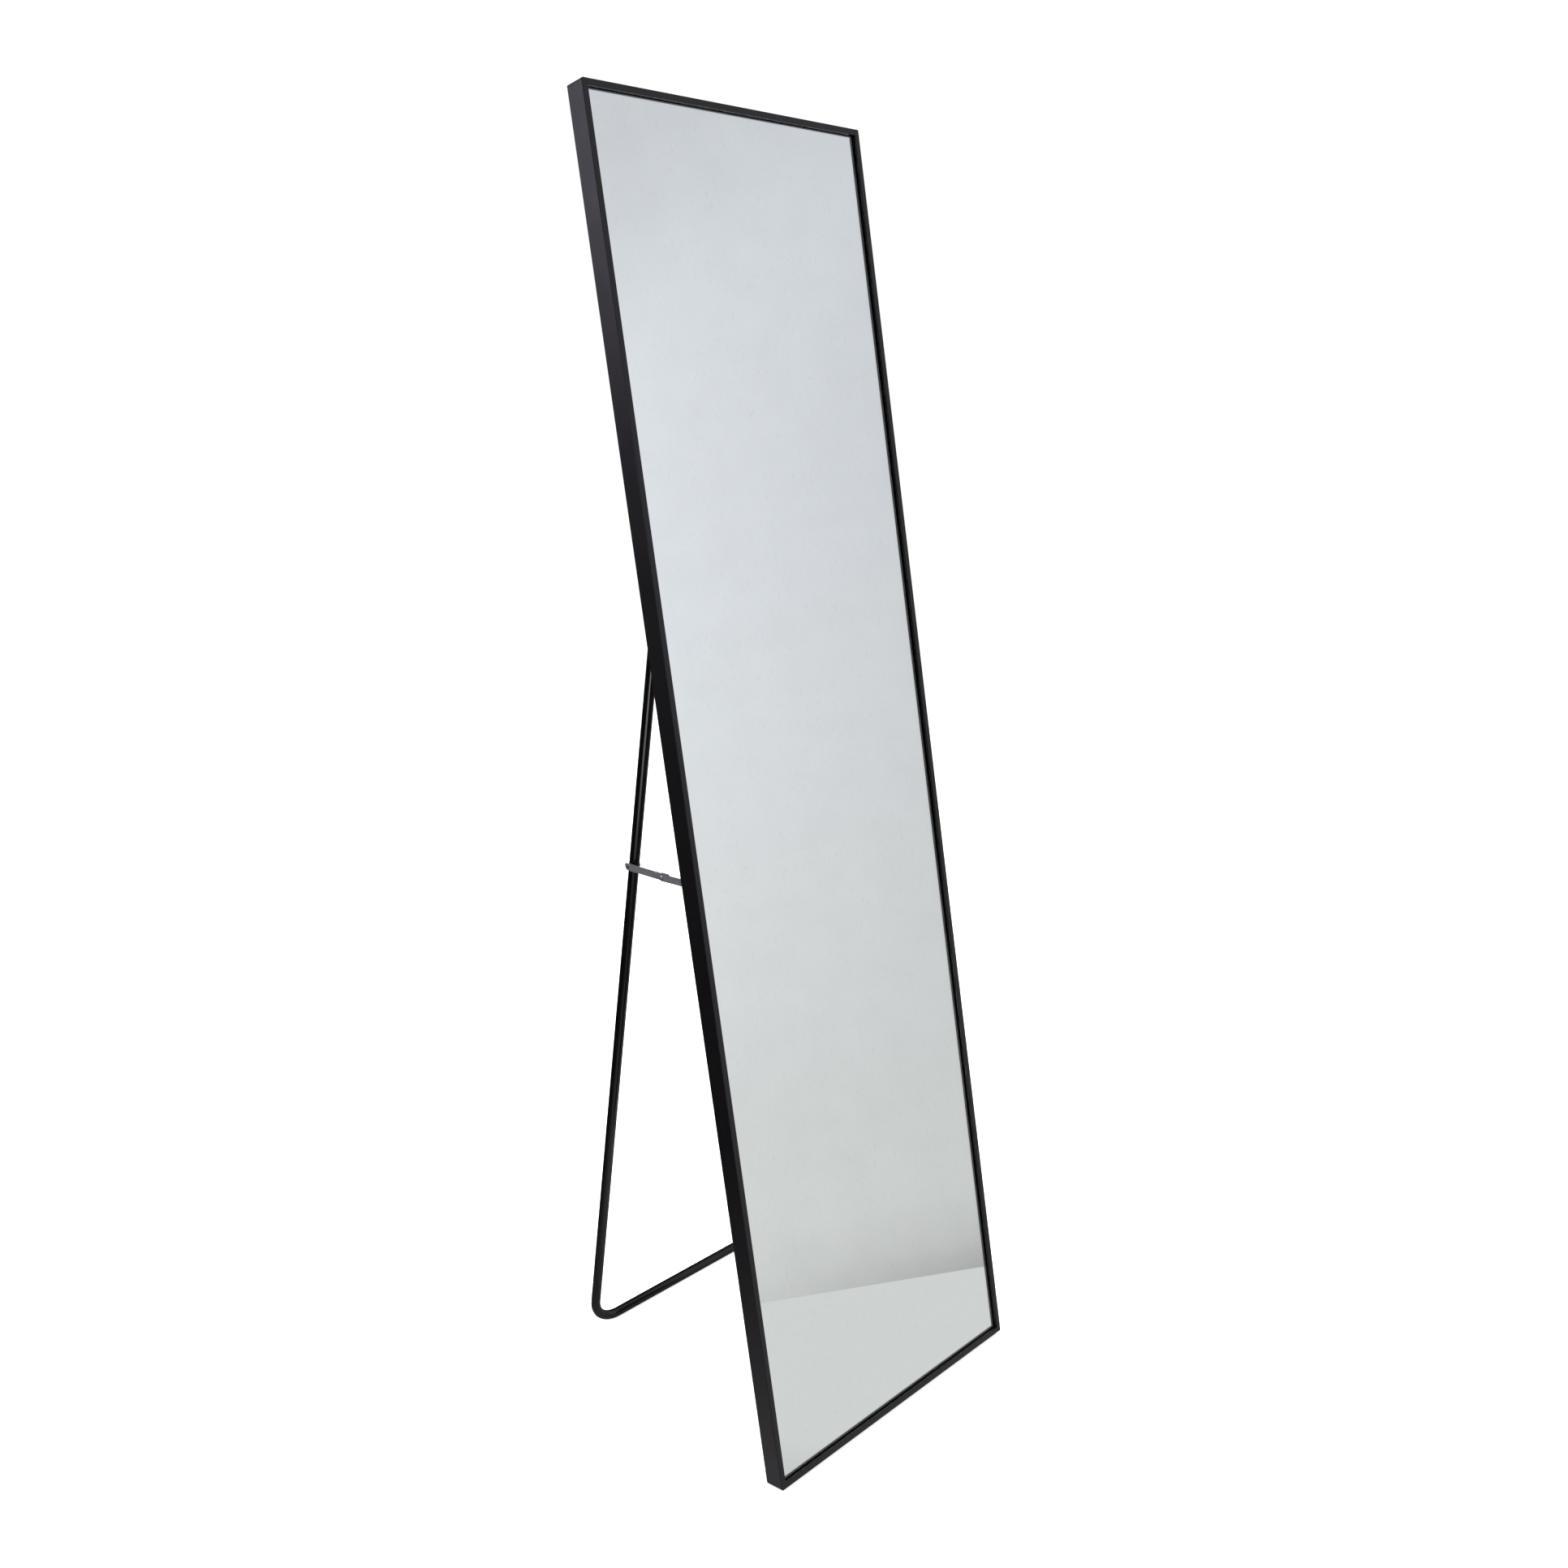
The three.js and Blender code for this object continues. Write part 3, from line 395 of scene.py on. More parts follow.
# %% Float glass and silver
float_glass, tree, shader, where = start_material(
    "clear_float_glass", Transmission_Weight=1.0, IOR=1.52, Roughness=0.0
)
iron = pattern(tree, where, 400, 0)
tree.links.new(tint(tree, iron, "#fefefe", "#fdfefe"), shader.inputs["Base Color"])

silver, tree, shader, where = start_material("wet_deposited_silver", Metallic=1.0, Roughness=0.0)
wipes = spread(tree, pattern(tree, where, 4, 6, (1, 1, 1.6)), 0, 1, 0.58, 0.78)
tree.links.new(tint(tree, wipes, "#f8f9f8", "#f2f3f2"), shader.inputs["Base Color"])
print("made", float_glass.name, "and", silver.name)

# %% [markdown]
# ### Board, foam, cast keys, nylon and rubber
# What closes the mirror from behind is thin brown hardboard, pressed wood fibre with short flecks. A soft
# polyethylene foam lies between it and the glass. The corner keys are raw die-cast aluminium, washers and
# caps are moulded black nylon, and the floor pads are matt rubber with a dusting of chalk.

# %% Board, foam, keys, nylon and rubber
hardboard, tree, shader, where = start_material("pressed_hardboard", Specular_IOR_Level=0.3)
fibres = pattern(tree, where, 3, 6, (1, 1, 2.5))
tree.links.new(tint(tree, fibres, "#3f2f23", "#6a5240"), shader.inputs["Base Color"])
tree.links.new(spread(tree, fibres, 0.55, 0.75), shader.inputs["Roughness"])
raise_bumps(tree, shader, fibres, 0.05, 0.5)

foam, tree, shader, where = start_material("polyethylene_foam", Roughness=0.9)
cells = add_node(tree, "ShaderNodeTexVoronoi", {"Vector": where, "Scale": 900.0}).outputs["Distance"]
tree.links.new(tint(tree, cells, "#c9c9c6", "#e4e4e0"), shader.inputs["Base Color"])
raise_bumps(tree, shader, cells, 0.3, 0.5)

cast_aluminium, tree, shader, where = start_material("die_cast_aluminium", Metallic=1.0)
skin = pattern(tree, where, 2, 4)
tree.links.new(tint(tree, skin, "#8f9194", "#b4b6b9"), shader.inputs["Base Color"])
tree.links.new(spread(tree, skin, 0.4, 0.6), shader.inputs["Roughness"])

nylon, tree, shader, where = start_material("moulded_black_nylon", Specular_IOR_Level=0.4)
moulding = pattern(tree, where, 0.6, 2)
tree.links.new(tint(tree, moulding, "#101012", "#161618"), shader.inputs["Base Color"])
tree.links.new(spread(tree, moulding, 0.42, 0.55), shader.inputs["Roughness"])
raise_bumps(tree, shader, moulding, 0.01, 0.5)

rubber, tree, shader, where = start_material("matt_black_rubber", Specular_IOR_Level=0.3)
chalk = pattern(tree, where, 4, 5)
tree.links.new(tint(tree, chalk, "#141414", "#222220"), shader.inputs["Base Color"])
tree.links.new(spread(tree, chalk, 0.75, 0.95), shader.inputs["Roughness"])
raise_bumps(tree, shader, pattern(tree, where, 0.5, 2), 0.03, 0.5)
print("materials so far:", len(bpy.data.materials))

# %% [markdown]
# ## Frame
# The rails and stiles are one extrusion, cut at 45 degrees and drawn together by keys inside the corners.
# Here the section gets its real rounding: 1 mm along the outer edges, and a small one on the lip that
# frames the glass. The outer corners are eased with a file after assembly, which the photo shows as a soft
# 3 mm corner. Each member is drawn through stations along its length, so that the easing runs into the mitre.

# %% Frame members
LIP_WIDTH, LIP_DEPTH, LIP_RIM, WALL = 7, 3.1, 1.4, 1.5
GLASS_FRONT, GLASS_THICKNESS = 3.4, 3
SLOT_BACK, PROFILE_WIDTH = 11.5, 22
EDGE_RADIUS, LIP_EDGE = 1.0, 0.35
CORNER_EASE, EASE_STEPS = 3.0, 6
MITRE_HAIRLINE = 0.06

section = (
    arc(EDGE_RADIUS, EDGE_RADIUS, EDGE_RADIUS, 180, 270, 8)
    + arc(LIP_WIDTH - LIP_EDGE, LIP_EDGE, LIP_EDGE, 270, 360, 4)
    + arc(LIP_WIDTH - LIP_EDGE, LIP_DEPTH - LIP_EDGE, LIP_EDGE, 0, 90, 4)
    + [(LIP_WIDTH - LIP_RIM, LIP_DEPTH), (LIP_WIDTH - LIP_RIM, WALL), (WALL, WALL), (WALL, SLOT_BACK)]
    + [(PROFILE_WIDTH, SLOT_BACK)]
    + arc(PROFILE_WIDTH - LIP_EDGE, FRAME_DEPTH - LIP_EDGE, LIP_EDGE, 0, 90, 4)
    + arc(EDGE_RADIUS, FRAME_DEPTH - EDGE_RADIUS, EDGE_RADIUS, 90, 180, 8)
)
chamber = [
    (WALL, SLOT_BACK + WALL), (PROFILE_WIDTH - WALL, SLOT_BACK + WALL),
    (PROFILE_WIDTH - WALL, FRAME_DEPTH - WALL), (WALL, FRAME_DEPTH - WALL),
]
ease_end = CORNER_EASE * (1 - math.sqrt(0.5))
ease_stations = [CORNER_EASE + (ease_end - CORNER_EASE) * i / EASE_STEPS for i in range(EASE_STEPS + 1)]


def eased(u, v, station):
    """Where a section point lies at a station's distance from the corner: (u, distance, v)."""
    left = max(CORNER_EASE - station, 0)
    u = max(u, CORNER_EASE - math.sqrt(CORNER_EASE ** 2 - left ** 2))
    return u, max(station, u), v


def frame_member(length):
    """One side of the frame, along Z and centred, with its outer side at x = 0 and both ends mitred."""
    bm = bmesh.new()
    half = length / 2 - MITRE_HAIRLINE
    signs = [(-1, s) for s in reversed(ease_stations)] + [(1, s) for s in ease_stations]
    walls = []
    for outline in (section, chamber):
        rows = []
        for sign, station in signs:
            spots = [eased(u, v, station) for u, v in outline]
            rows.append([bm.verts.new((u, v, sign * (half - s))) for u, s, v in spots])
        for low, high in zip(rows, rows[1:]):
            for k in range(len(outline)):
                following = (k + 1) % len(outline)
                bm.faces.new((low[k], low[following], high[following], high[k]))
        walls.append(rows)
    for end in (0, -1):
        loops = [rows[end] for rows in walls]
        corners = [vert for loop in loops for vert in loop]
        for triangle in tessellate_polygon([[Vector((v.co.x, v.co.y, 0)) for v in loop] for loop in loops]):
            bm.faces.new([corners[i] for i in triangle])
    return bm


half_width = FRAME_WIDTH / 2
members = [
    ("stile_left", FRAME_HEIGHT, (-half_width, 0, FRAME_HEIGHT / 2), 0),
    ("stile_right", FRAME_HEIGHT, (half_width, 0, FRAME_HEIGHT / 2), 180),
    ("rail_top", FRAME_WIDTH, (0, 0, FRAME_HEIGHT), 90),
    ("rail_bottom", FRAME_WIDTH, (0, 0, 0), -90),
]
for name, length, spot, turn in members:
    place = PANEL @ Matrix.Translation(spot) @ Matrix.Rotation(math.radians(turn), 4, "Y")
    build(frame_member(length), f"{name}_extrusion", "frame", [f"frame_{name}"],
          [powder_coat], place)
print("made", len(members), "frame members with", len(section), "points in their section")

# %% [markdown]
# ## Mirror pane
# The glass is cut to fit inside the slot, its edges ground to a slight arris so that they can be handled.
# Its back face carries the silver.

# %% Mirror pane
EDGE_PLAY, ARRIS = 0.8, 0.4
pane_inset = WALL + EDGE_PLAY
pane_low = Vector((pane_inset - half_width, GLASS_FRONT, pane_inset))
pane_high = Vector((half_width - pane_inset, GLASS_FRONT + GLASS_THICKNESS, FRAME_HEIGHT - pane_inset))
bm = bmesh.new()
loops = []
for depth, inset in ((0, ARRIS), (ARRIS, 0), (GLASS_THICKNESS - ARRIS, 0), (GLASS_THICKNESS, ARRIS)):
    x0, x1 = pane_low.x + inset, pane_high.x - inset
    z0, z1 = pane_low.z + inset, pane_high.z - inset
    y = GLASS_FRONT + depth
    loops.append([bm.verts.new(corner) for corner in ((x0, y, z0), (x1, y, z0), (x1, y, z1), (x0, y, z1))])
for near, far in zip(loops, loops[1:]):
    for k in range(4):
        bm.faces.new((near[k], near[(k + 1) % 4], far[(k + 1) % 4], far[k]))
bm.faces.new(loops[0])
bm.faces.new(loops[-1]).material_index = 1
build(bm, "mirror_pane", "frame", ["mirror_glass"], [float_glass, silver], PANEL)
print("pane of", round(pane_high.x - pane_low.x, 1), "x", round(pane_high.z - pane_low.z, 1), "mm")

# %% [markdown]
# ## Leg tube
# The leg is one length of 12 mm steel tube, bent on a mandrel at its two lower corners. It follows a path, so
# a Geometry Nodes tree draws it: a four-point path, filleted by the bend radius and swept by a circle.
# The tree's inputs are the dimensions a tube bender would ask for.

# %% Leg tube with Geometry Nodes
def start_geometry_tree(name, inputs):
    """A tree with a Geometry input and output, and the named inputs as (name, socket kind, default)."""
    tree = bpy.data.node_groups.new(name, "GeometryNodeTree")
    face = tree.interface
    face.new_socket("Geometry", in_out="INPUT", socket_type="NodeSocketGeometry")
    for label, kind, default in inputs:
        socket = face.new_socket(label, in_out="INPUT", socket_type=kind)
        if default is not None:
            socket.default_value = default
    face.new_socket("Geometry", in_out="OUTPUT", socket_type="NodeSocketGeometry")
    return tree, tree.nodes.new("NodeGroupInput")


def close_geometry_tree(tree, geometry, group_input):
    """Ends a tree in Realize Instances and Set Material."""
    real = add_node(tree, "GeometryNodeRealizeInstances", {"Geometry": geometry})
    inputs = {"Geometry": real.outputs[0], "Material": group_input.outputs["Finish"]}
    painted = add_node(tree, "GeometryNodeSetMaterial", inputs)
    add_node(tree, "NodeGroupOutput", {"Geometry": painted.outputs[0]})


def grow(obj, tree, values):
    """Runs a tree on obj with the given values of its named inputs, and keeps the mesh it makes."""
    modifier = obj.modifiers.new(tree.name, "NODES")
    modifier.node_group = tree
    for item in tree.interface.items_tree:
        if item.item_type == "SOCKET" and item.in_out == "INPUT" and item.name in values:
            modifier[item.identifier] = values[item.name]
    apply_modifiers(obj)
    return obj


BEND_STEPS, TUBE_SIDES = 18, 40
sweep, given = start_geometry_tree("bent_tube", [
    ("Tube Radius", "NodeSocketFloat", TUBE_RADIUS * 0.001),
    ("Bend Radius", "NodeSocketFloat", LEG_BEND * 0.001),
    ("Steps Per Bend", "NodeSocketInt", BEND_STEPS),
    ("Sides", "NodeSocketInt", TUBE_SIDES),
    ("Finish", "NodeSocketMaterial", None),
])
path = add_node(sweep, "GeometryNodeMeshToCurve", {"Mesh": given.outputs["Geometry"]})
bends = add_node(sweep, "GeometryNodeFilletCurve", {
    "Curve": path.outputs[0], "Radius": given.outputs["Bend Radius"], "Limit Radius": True,
    "Count": given.outputs["Steps Per Bend"],
}, mode="POLY")
circle = add_node(sweep, "GeometryNodeCurvePrimitiveCircle", {
    "Resolution": given.outputs["Sides"], "Radius": given.outputs["Tube Radius"],
})
skin = add_node(sweep, "GeometryNodeCurveToMesh", {
    "Curve": bends.outputs[0], "Profile Curve": circle.outputs[0], "Fill Caps": False,
})
close_geometry_tree(sweep, skin.outputs[0], given)

tube_path = [(-1, LEG_TOP), (-1, -LEG_LENGTH), (1, -LEG_LENGTH), (1, LEG_TOP)]
path_mesh = bpy.data.meshes.new("leg_path")
path_mesh.from_pydata([LEG @ Vector((side * LEG_SPACING / 2, 0, z)) for side, z in tube_path],
                      [(0, 1), (1, 2), (2, 3)], [])


def swept(name, radius):
    """The leg's path swept by a circle of this radius, open at both ends."""
    return grow(new_object(name, path_mesh.copy()), sweep, {
        "Tube Radius": radius * 0.001, "Bend Radius": LEG_BEND * 0.001, "Steps Per Bend": BEND_STEPS,
        "Sides": TUBE_SIDES, "Finish": gloss_black,
    })


outside = swept("leg_tube_bent", TUBE_RADIUS)
inside = swept("leg_tube_bore", TUBE_RADIUS - TUBE_WALL)
bm = bmesh.new()
bm.from_mesh(outside.data)
bm.from_mesh(inside.data)
bpy.data.objects.remove(inside)
bmesh.ops.remove_doubles(bm, verts=bm.verts, dist=MESH_WELD)
leg_inverse = LEG.inverted()
for _, side in SIDES:
    rims = [edge for edge in bm.edges if edge.is_boundary and (leg_inverse @ edge.verts[0].co).x * side > 0]
    bmesh.ops.bridge_loops(bm, edges=rims)
bmesh.ops.recalc_face_normals(bm, faces=bm.faces)
bm.to_mesh(outside.data)
bm.free()
finish_mesh(outside)
settle(outside, "leg", ["leg_tube"])
print("leg tube:", len(outside.data.polygons), "faces")

# %% [markdown]
# ## Screws
# Fourteen pan head screws hold the corners and the brackets. The head is cold-headed with a cross recess, and
# each screw stopped at its own angle when it was driven. A Geometry Nodes tree sets them out on their seats
# and turns every one by a random angle from a fixed seed.

# %% Screws with Geometry Nodes
SCREW_LINE, CORNER_SCREW = 11.5, 30
HINGE_SCREWS, STAY_SCREWS = (-9, 26), (-9, 23)  # heights from the hinge and from the stay's frame pivot
HINGE_PLATE, STAY_PLATE, SEAT_GAP = 2, 1.5, 0.4
HEAD_RADIUS, HEAD_HEIGHT, SHANK_RADIUS, SCREW_LENGTH = 3.6, 2.0, 1.9, 8.6
SCREW_STEPS, SCREW_SEED = 96, 7

# The head's outline as parts of its height and radius, and the recess as depths with (reach, half arm).
head_profile = [(0.0, 0.93), (0.12, 1.0), (0.45, 1.0), (0.7, 0.93), (0.88, 0.8), (1.0, 0.6)]
recess = [(0.0, (2.0, 0.48)), (0.15, (1.9, 0.42)), (1.3, (0.75, 0.3))]
screw_rings = [(-SCREW_LENGTH, "round", SHANK_RADIUS * 0.6), (1 - SCREW_LENGTH, "round", SHANK_RADIUS),
               (0, "round", SHANK_RADIUS)]
screw_rings += [(HEAD_HEIGHT * h, "round", HEAD_RADIUS * r) for h, r in head_profile]
screw_rings += [(HEAD_HEIGHT - depth, "cross", cross) for depth, cross in recess]
template = new_object("screw_template", bpy.data.meshes.new("screw_template"))
bm = turned(screw_rings, SCREW_STEPS)
bm.transform(MM @ Matrix.Rotation(math.radians(90), 4, "Z"))
bmesh.ops.recalc_face_normals(bm, faces=bm.faces)
bm.to_mesh(template.data)
bm.free()

driven, given = start_geometry_tree("driven_screws", [
    ("Screw", "NodeSocketObject", None),
    ("Seed", "NodeSocketInt", SCREW_SEED),
    ("Finish", "NodeSocketMaterial", None),
])
screw = add_node(driven, "GeometryNodeObjectInfo", {"Object": given.outputs["Screw"], "As Instance": True})
turn = add_node(driven, "FunctionNodeRandomValue", {
    0: (0, 0, 0), 1: (0, 2 * math.pi, 0), "Seed": given.outputs["Seed"],
}, data_type="FLOAT_VECTOR")
seats = add_node(driven, "GeometryNodeInstanceOnPoints", {
    "Points": given.outputs["Geometry"], "Instance": screw.outputs["Geometry"],
    "Rotation": turn.outputs[0],
})
close_geometry_tree(driven, seats.outputs[0], given)

stay_pivot_height = (PANEL.inverted() @ frame_pivot).z
near, far = SCREW_LINE, CORNER_SCREW
hinge_seat, stay_seat = FRAME_DEPTH + HINGE_PLATE + SEAT_GAP, FRAME_DEPTH + STAY_PLATE + SEAT_GAP
seat_spots = []
for _, side in SIDES:
    for end, inward in ((0, 1), (FRAME_HEIGHT, -1)):
        seat_spots += [(side * (half_width - near), FRAME_DEPTH, end + inward * far),
                       (side * (half_width - far), FRAME_DEPTH, end + inward * near)]
    seat_spots += [(side * (half_width - near), hinge_seat, HINGE.z + z) for z in HINGE_SCREWS]
seat_spots += [(near - half_width, stay_seat, stay_pivot_height + z) for z in STAY_SCREWS]
screws = new_object("driven_screws", bpy.data.meshes.new("screw_seats"))
screws.data.from_pydata([MM @ Vector(spot) for spot in seat_spots], [], [])
grow(screws, driven, {"Screw": template, "Seed": SCREW_SEED, "Finish": black_zinc})
bpy.data.objects.remove(template)
screws.data.transform(PANEL @ MM.inverted())
finish_mesh(screws)
screw_nodes = [name for name in frame["nodes"] if "screw" in name]
settle(screws, "frame", screw_nodes)
print("drove", len(seat_spots), "screws for", len(screw_nodes), "CAD nodes")

# %% [markdown]
# ## Hinge brackets
# The hinge brackets and the stay's bracket are blanked from sheet steel and folded once. Blanking rounds the
# edge on one side and the coating softens the rest, so the CAD shape only needs a fine rounding.

# %% Brackets
for name, _ in SIDES:
    dressed(f"hinge_bracket_{name}", f"hinge_bracket_{name}_folded", "frame",
            satin_black, bevel=0.25)
dressed("stay_bracket", "stay_bracket_folded", "frame", satin_black, bevel=0.2)
print("folded three brackets")

# %% [markdown]
# ## Hinge bolts, washers and nuts
# Each hinge is a button head socket screw through the bracket's ear and the tube, with nylon washers against
# the enamel and a chamfered hexagon nut inside. Everything is turned round the hinge axis.

# %% Hinge hardware
TUBE_X, GAP = LEG_SPACING / 2, 0.3
WASHER, WASHER_RADIUS, WASHER_BORE, WASHER_CHAMFER = 0.8, 6, 2.7, 0.2
BOLT_RADIUS, BOLT_TIP, BOLT_PAST_NUT = 2.5, 0.4, 1
HEAD_RISE, HEAD_RIM, HEAD_EDGE, HEAD_TOP = 2.6, 4.5, 0.6, 1.9
SOCKET_FLAT, SOCKET_DEPTH = 1.5, 1.5
NUT_FLAT, NUT_HEIGHT, NUT_CHAMFER, NUT_FACE = 3.98, 4.5, 0.35, 0.96
washer_seat = TUBE_RADIUS + GAP
ear_outer = TUBE_X + washer_seat + WASHER + GAP + HINGE_PLATE
nut_outer = TUBE_X - washer_seat - WASHER - GAP
nut_inner = nut_outer - NUT_HEIGHT


def button_bolt(tip, seat):
    """A bolt along +X from its tip to a domed head on its seat, with a hexagon socket."""
    top = seat + HEAD_RISE
    edge = seat + HEAD_EDGE
    rings = [
        (tip, "round", BOLT_RADIUS - BOLT_TIP), (tip + BOLT_TIP, "round", BOLT_RADIUS),
        (seat, "round", BOLT_RADIUS), (seat, "round", HEAD_RIM - 0.1),
        (seat + 0.15, "round", HEAD_RIM + 0.05), (edge, "round", HEAD_RIM),
    ]
    for across, up in arc(0, 0, 1, 12, 84, 6):
        rings.append((edge + (top - edge) * up, "round", HEAD_TOP + (HEAD_RIM - HEAD_TOP) * across))
    rings += [
        (top, "round", SOCKET_FLAT + 0.25), (top, "hex", SOCKET_FLAT),
        (top - SOCKET_DEPTH, "hex", SOCKET_FLAT - 0.05),
    ]
    return turned(rings)


def hex_nut(x0, x1, half_flat, bore):
    """A nut along X whose corners are chamfered on both sides."""
    face = half_flat * NUT_FACE
    rings = [
        (x0, "round", bore), (x0, "round", face), (x0 + NUT_CHAMFER, "hex", half_flat),
        (x1 - NUT_CHAMFER, "hex", half_flat), (x1, "round", face), (x1, "round", bore),
    ]
    return open_bore(turned(rings))


def washer(x0):
    """A nylon washer along X, from x0."""
    return tube_ring(WASHER_RADIUS, WASHER_BORE, x0, x0 + WASHER, WASHER_CHAMFER)


for name, side in SIDES:
    place = PANEL @ Matrix.Translation(HINGE) @ Matrix.Rotation(0 if side > 0 else math.pi, 4, "Z")
    bolt = button_bolt(nut_inner - BOLT_PAST_NUT, ear_outer + 0.1)
    nut = hex_nut(nut_inner, nut_outer, NUT_FLAT, BOLT_RADIUS + 0.1)
    hardware = [
        (f"hinge_bolt_{name}", bolt, "screw_black", black_zinc),
        (f"hinge_nut_{name}", nut, "screw_black", black_zinc),
        (f"hinge_washer_{name}_outer", washer(TUBE_X + washer_seat), "nylon_black", nylon),
        (f"hinge_washer_{name}_inner", washer(TUBE_X - washer_seat - WASHER), "nylon_black", nylon),
    ]
    for node, bm, slot, finish in hardware:
        build(bm, node + "_turned", "frame", [node], [finish], place)
print("hinge axis at depth", HINGE.y, "mm, head beyond x =", round(ear_outer, 1), "mm")

# %% [markdown]
# ## Folding stay
# Two strip links meet at a riveted elbow. Opened, the elbow passes slightly beyond straight and a small
# finger of one link stops in a notch of the other, so the leg can't fold until the thumb tab is lifted.
# Stamped links keep a slightly rounded edge all round, which catches the light. The rivets are semi-tubular:
# their bored end is rolled over into a ring, with a dark hole in the middle.

# %% Stay links and rivets
RIVET_RISE, RIVET_HEAD, RIVET_SHANK, RIVET_TAIL, TAIL_RISE = 1.1, 2.7, 1.6, 2.5, 0.9

dressed("stay_frame_link", "stay_frame_link_stamped", "stay_frame_arm", zinc_steel, bevel=0.22)
dressed("stay_leg_link", "stay_leg_link_stamped", "stay_leg_arm", zinc_steel, bevel=0.22)


def rivet(length, tail=0.0):
    """A semi-tubular rivet along +X from its seat at 0, its bored end rolled outwards into a ring at -X."""
    # The rolled end from its bore out to its rim, as parts of the rivet's rise and head radius.
    rolled = [(0.1, 0.0), (0.1, 0.26), (0.3, 0.31), (0.72, 0.34), (0.9, 0.4), (1.0, 0.53), (0.97, 0.66),
              (0.84, 0.8), (0.62, 0.91), (0.35, 0.98), (0.12, 1.0), (0.0, 0.98)]
    rings = [(-RIVET_RISE * x, "round", max(RIVET_HEAD * r, 0.02)) for x, r in rolled]
    rings += [(0, "round", RIVET_SHANK), (length, "round", RIVET_SHANK)]
    if tail:
        rings += [(length, "round", RIVET_TAIL), (length + tail * 0.6, "round", RIVET_TAIL),
                  (length + tail, "round", RIVET_TAIL * 0.75)]
    return turned(rings)


def axis_at(x, y, z):
    """Places a turned part with its zero at a point in world metres."""
    return Matrix.Translation((x, y, z)) @ MM


def extent_x(node):
    """Where a CAD node starts along X, in metres, and its length, in mm."""
    node_low, node_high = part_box(node)
    return node_low.x, (node_high.x - node_low.x) * 1000


elbow_start, elbow_span = extent_x("stay_elbow_rivet")
elbow_length = elbow_span - RIVET_RISE - TAIL_RISE
build(rivet(elbow_length, TAIL_RISE), "stay_elbow_rivet_set", "stay_frame_arm",
      ["stay_elbow_rivet"], [bright_zinc], axis_at(elbow_start + RIVET_RISE * 0.001, elbow.y, elbow.z))
bracket_start, bracket_span = extent_x("stay_bracket_rivet")
build(rivet(bracket_span - RIVET_RISE), "stay_bracket_rivet_set", "frame",
      ["stay_bracket_rivet"], [bright_zinc],
      axis_at(bracket_start + RIVET_RISE * 0.001, frame_pivot.y, frame_pivot.z))
print("elbow rivet is", round(elbow_length, 1), "mm between its heads")

# %% [markdown]
# ## Stay pivot on the leg
# The stay's leg end turns on a rivet through the tube's outer wall, on a nylon saddle that hugs the tube's
# curve. The rivet is closed flat in the link, and spread to a low round head against the wall inside.

# %% Leg pivot, saddle, end caps and pads
PIVOT_HEAD, PIVOT_TAIL, PIVOT_TAIL_RISE = 1.3, 3.0, 1.4
CAP_PLUG, CAP_RADIUS, CAP_RIM, CAP_DOME = 4.5, 5.95, 1.2, 1.3


def round_turned(profile):
    """A turned part whose rings are all round, from (x, radius) points."""
    return turned([(x, "round", radius) for x, radius in profile])


head_low, head_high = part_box("stay_pivot_head")
head_centre = (head_low + head_high) / 2
head_start, head_length = extent_x("stay_pivot_head")
flat_head = [(0.0, PIVOT_HEAD - 0.25), (0.12, PIVOT_HEAD), (head_length, PIVOT_HEAD)]
build(round_turned(flat_head), "stay_pivot_head_closed", "stay_leg_arm", ["stay_pivot_head"],
      [black_zinc], axis_at(head_start, head_centre.y, head_centre.z))

pivot_start, pivot_span = extent_x("stay_pivot_rivet")
shank_length = pivot_span - PIVOT_TAIL_RISE
spread_head = [(0.0, RIVET_SHANK), (shank_length, RIVET_SHANK), (shank_length, PIVOT_TAIL)]
spread_head += [(shank_length + PIVOT_TAIL_RISE * y, PIVOT_TAIL * x) for x, y in arc(0, 0, 1, 8, 72, 8)]
build(round_turned(spread_head), "stay_pivot_rivet_spread", "leg", ["stay_pivot_rivet"],
      [black_zinc], axis_at(pivot_start, LEG_PIVOT.y, LEG_PIVOT.z))
dressed("stay_spacer", "stay_spacer_moulded", "leg", nylon, bevel=0.15)

# A cap's plug fits the tube's bore below 0, and above it stand its rim and its dome.
cap_profile = [(-5, CAP_PLUG - 0.3), (-4.6, CAP_PLUG), (0.0, CAP_PLUG), (0.1, CAP_RADIUS - 0.25),
               (0.35, CAP_RADIUS), (CAP_RIM, CAP_RADIUS)]
cap_profile += [(CAP_RIM + CAP_DOME * y, CAP_RADIUS * x) for x, y in arc(0, 0, 1, 11, 77, 6)]
for name, side in SIDES:
    stand = LEG @ Matrix.Translation((side * TUBE_X, 0, LEG_TOP)) @ Matrix.Rotation(-math.pi / 2, 4, "Y")
    build(round_turned(cap_profile), f"leg_end_cap_{name}_moulded", "leg",
          [f"leg_end_cap_{name}"], [nylon], stand)
for name, _ in SIDES:
    dressed(f"floor_pad_{name}", f"floor_pad_{name}_moulded", "frame", rubber, bevel=0.3)
print("leg pivot at", [round(v, 4) for v in LEG_PIVOT])

# %% [markdown]
# ## What stays as CAD
# The corner keys, the foam and the backing board are flat or hidden, so their CAD solids stay as they are and
# only take their finish.

# %% Finishes of the remaining CAD nodes
kept = {"foam_liner": foam, "backing_board": hardboard}
kept.update({name: cast_aluminium for name in frame["nodes"] if name.startswith("corner_key")})
for name, finish in kept.items():
    materials = frame["nodes"][name].data.materials
    materials.clear()
    materials.append(finish)
left_over = [obj.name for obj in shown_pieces() if obj.name in frame["nodes"] and obj.name not in kept]
print("CAD nodes shown:", sorted(kept), "without a finish:", left_over)

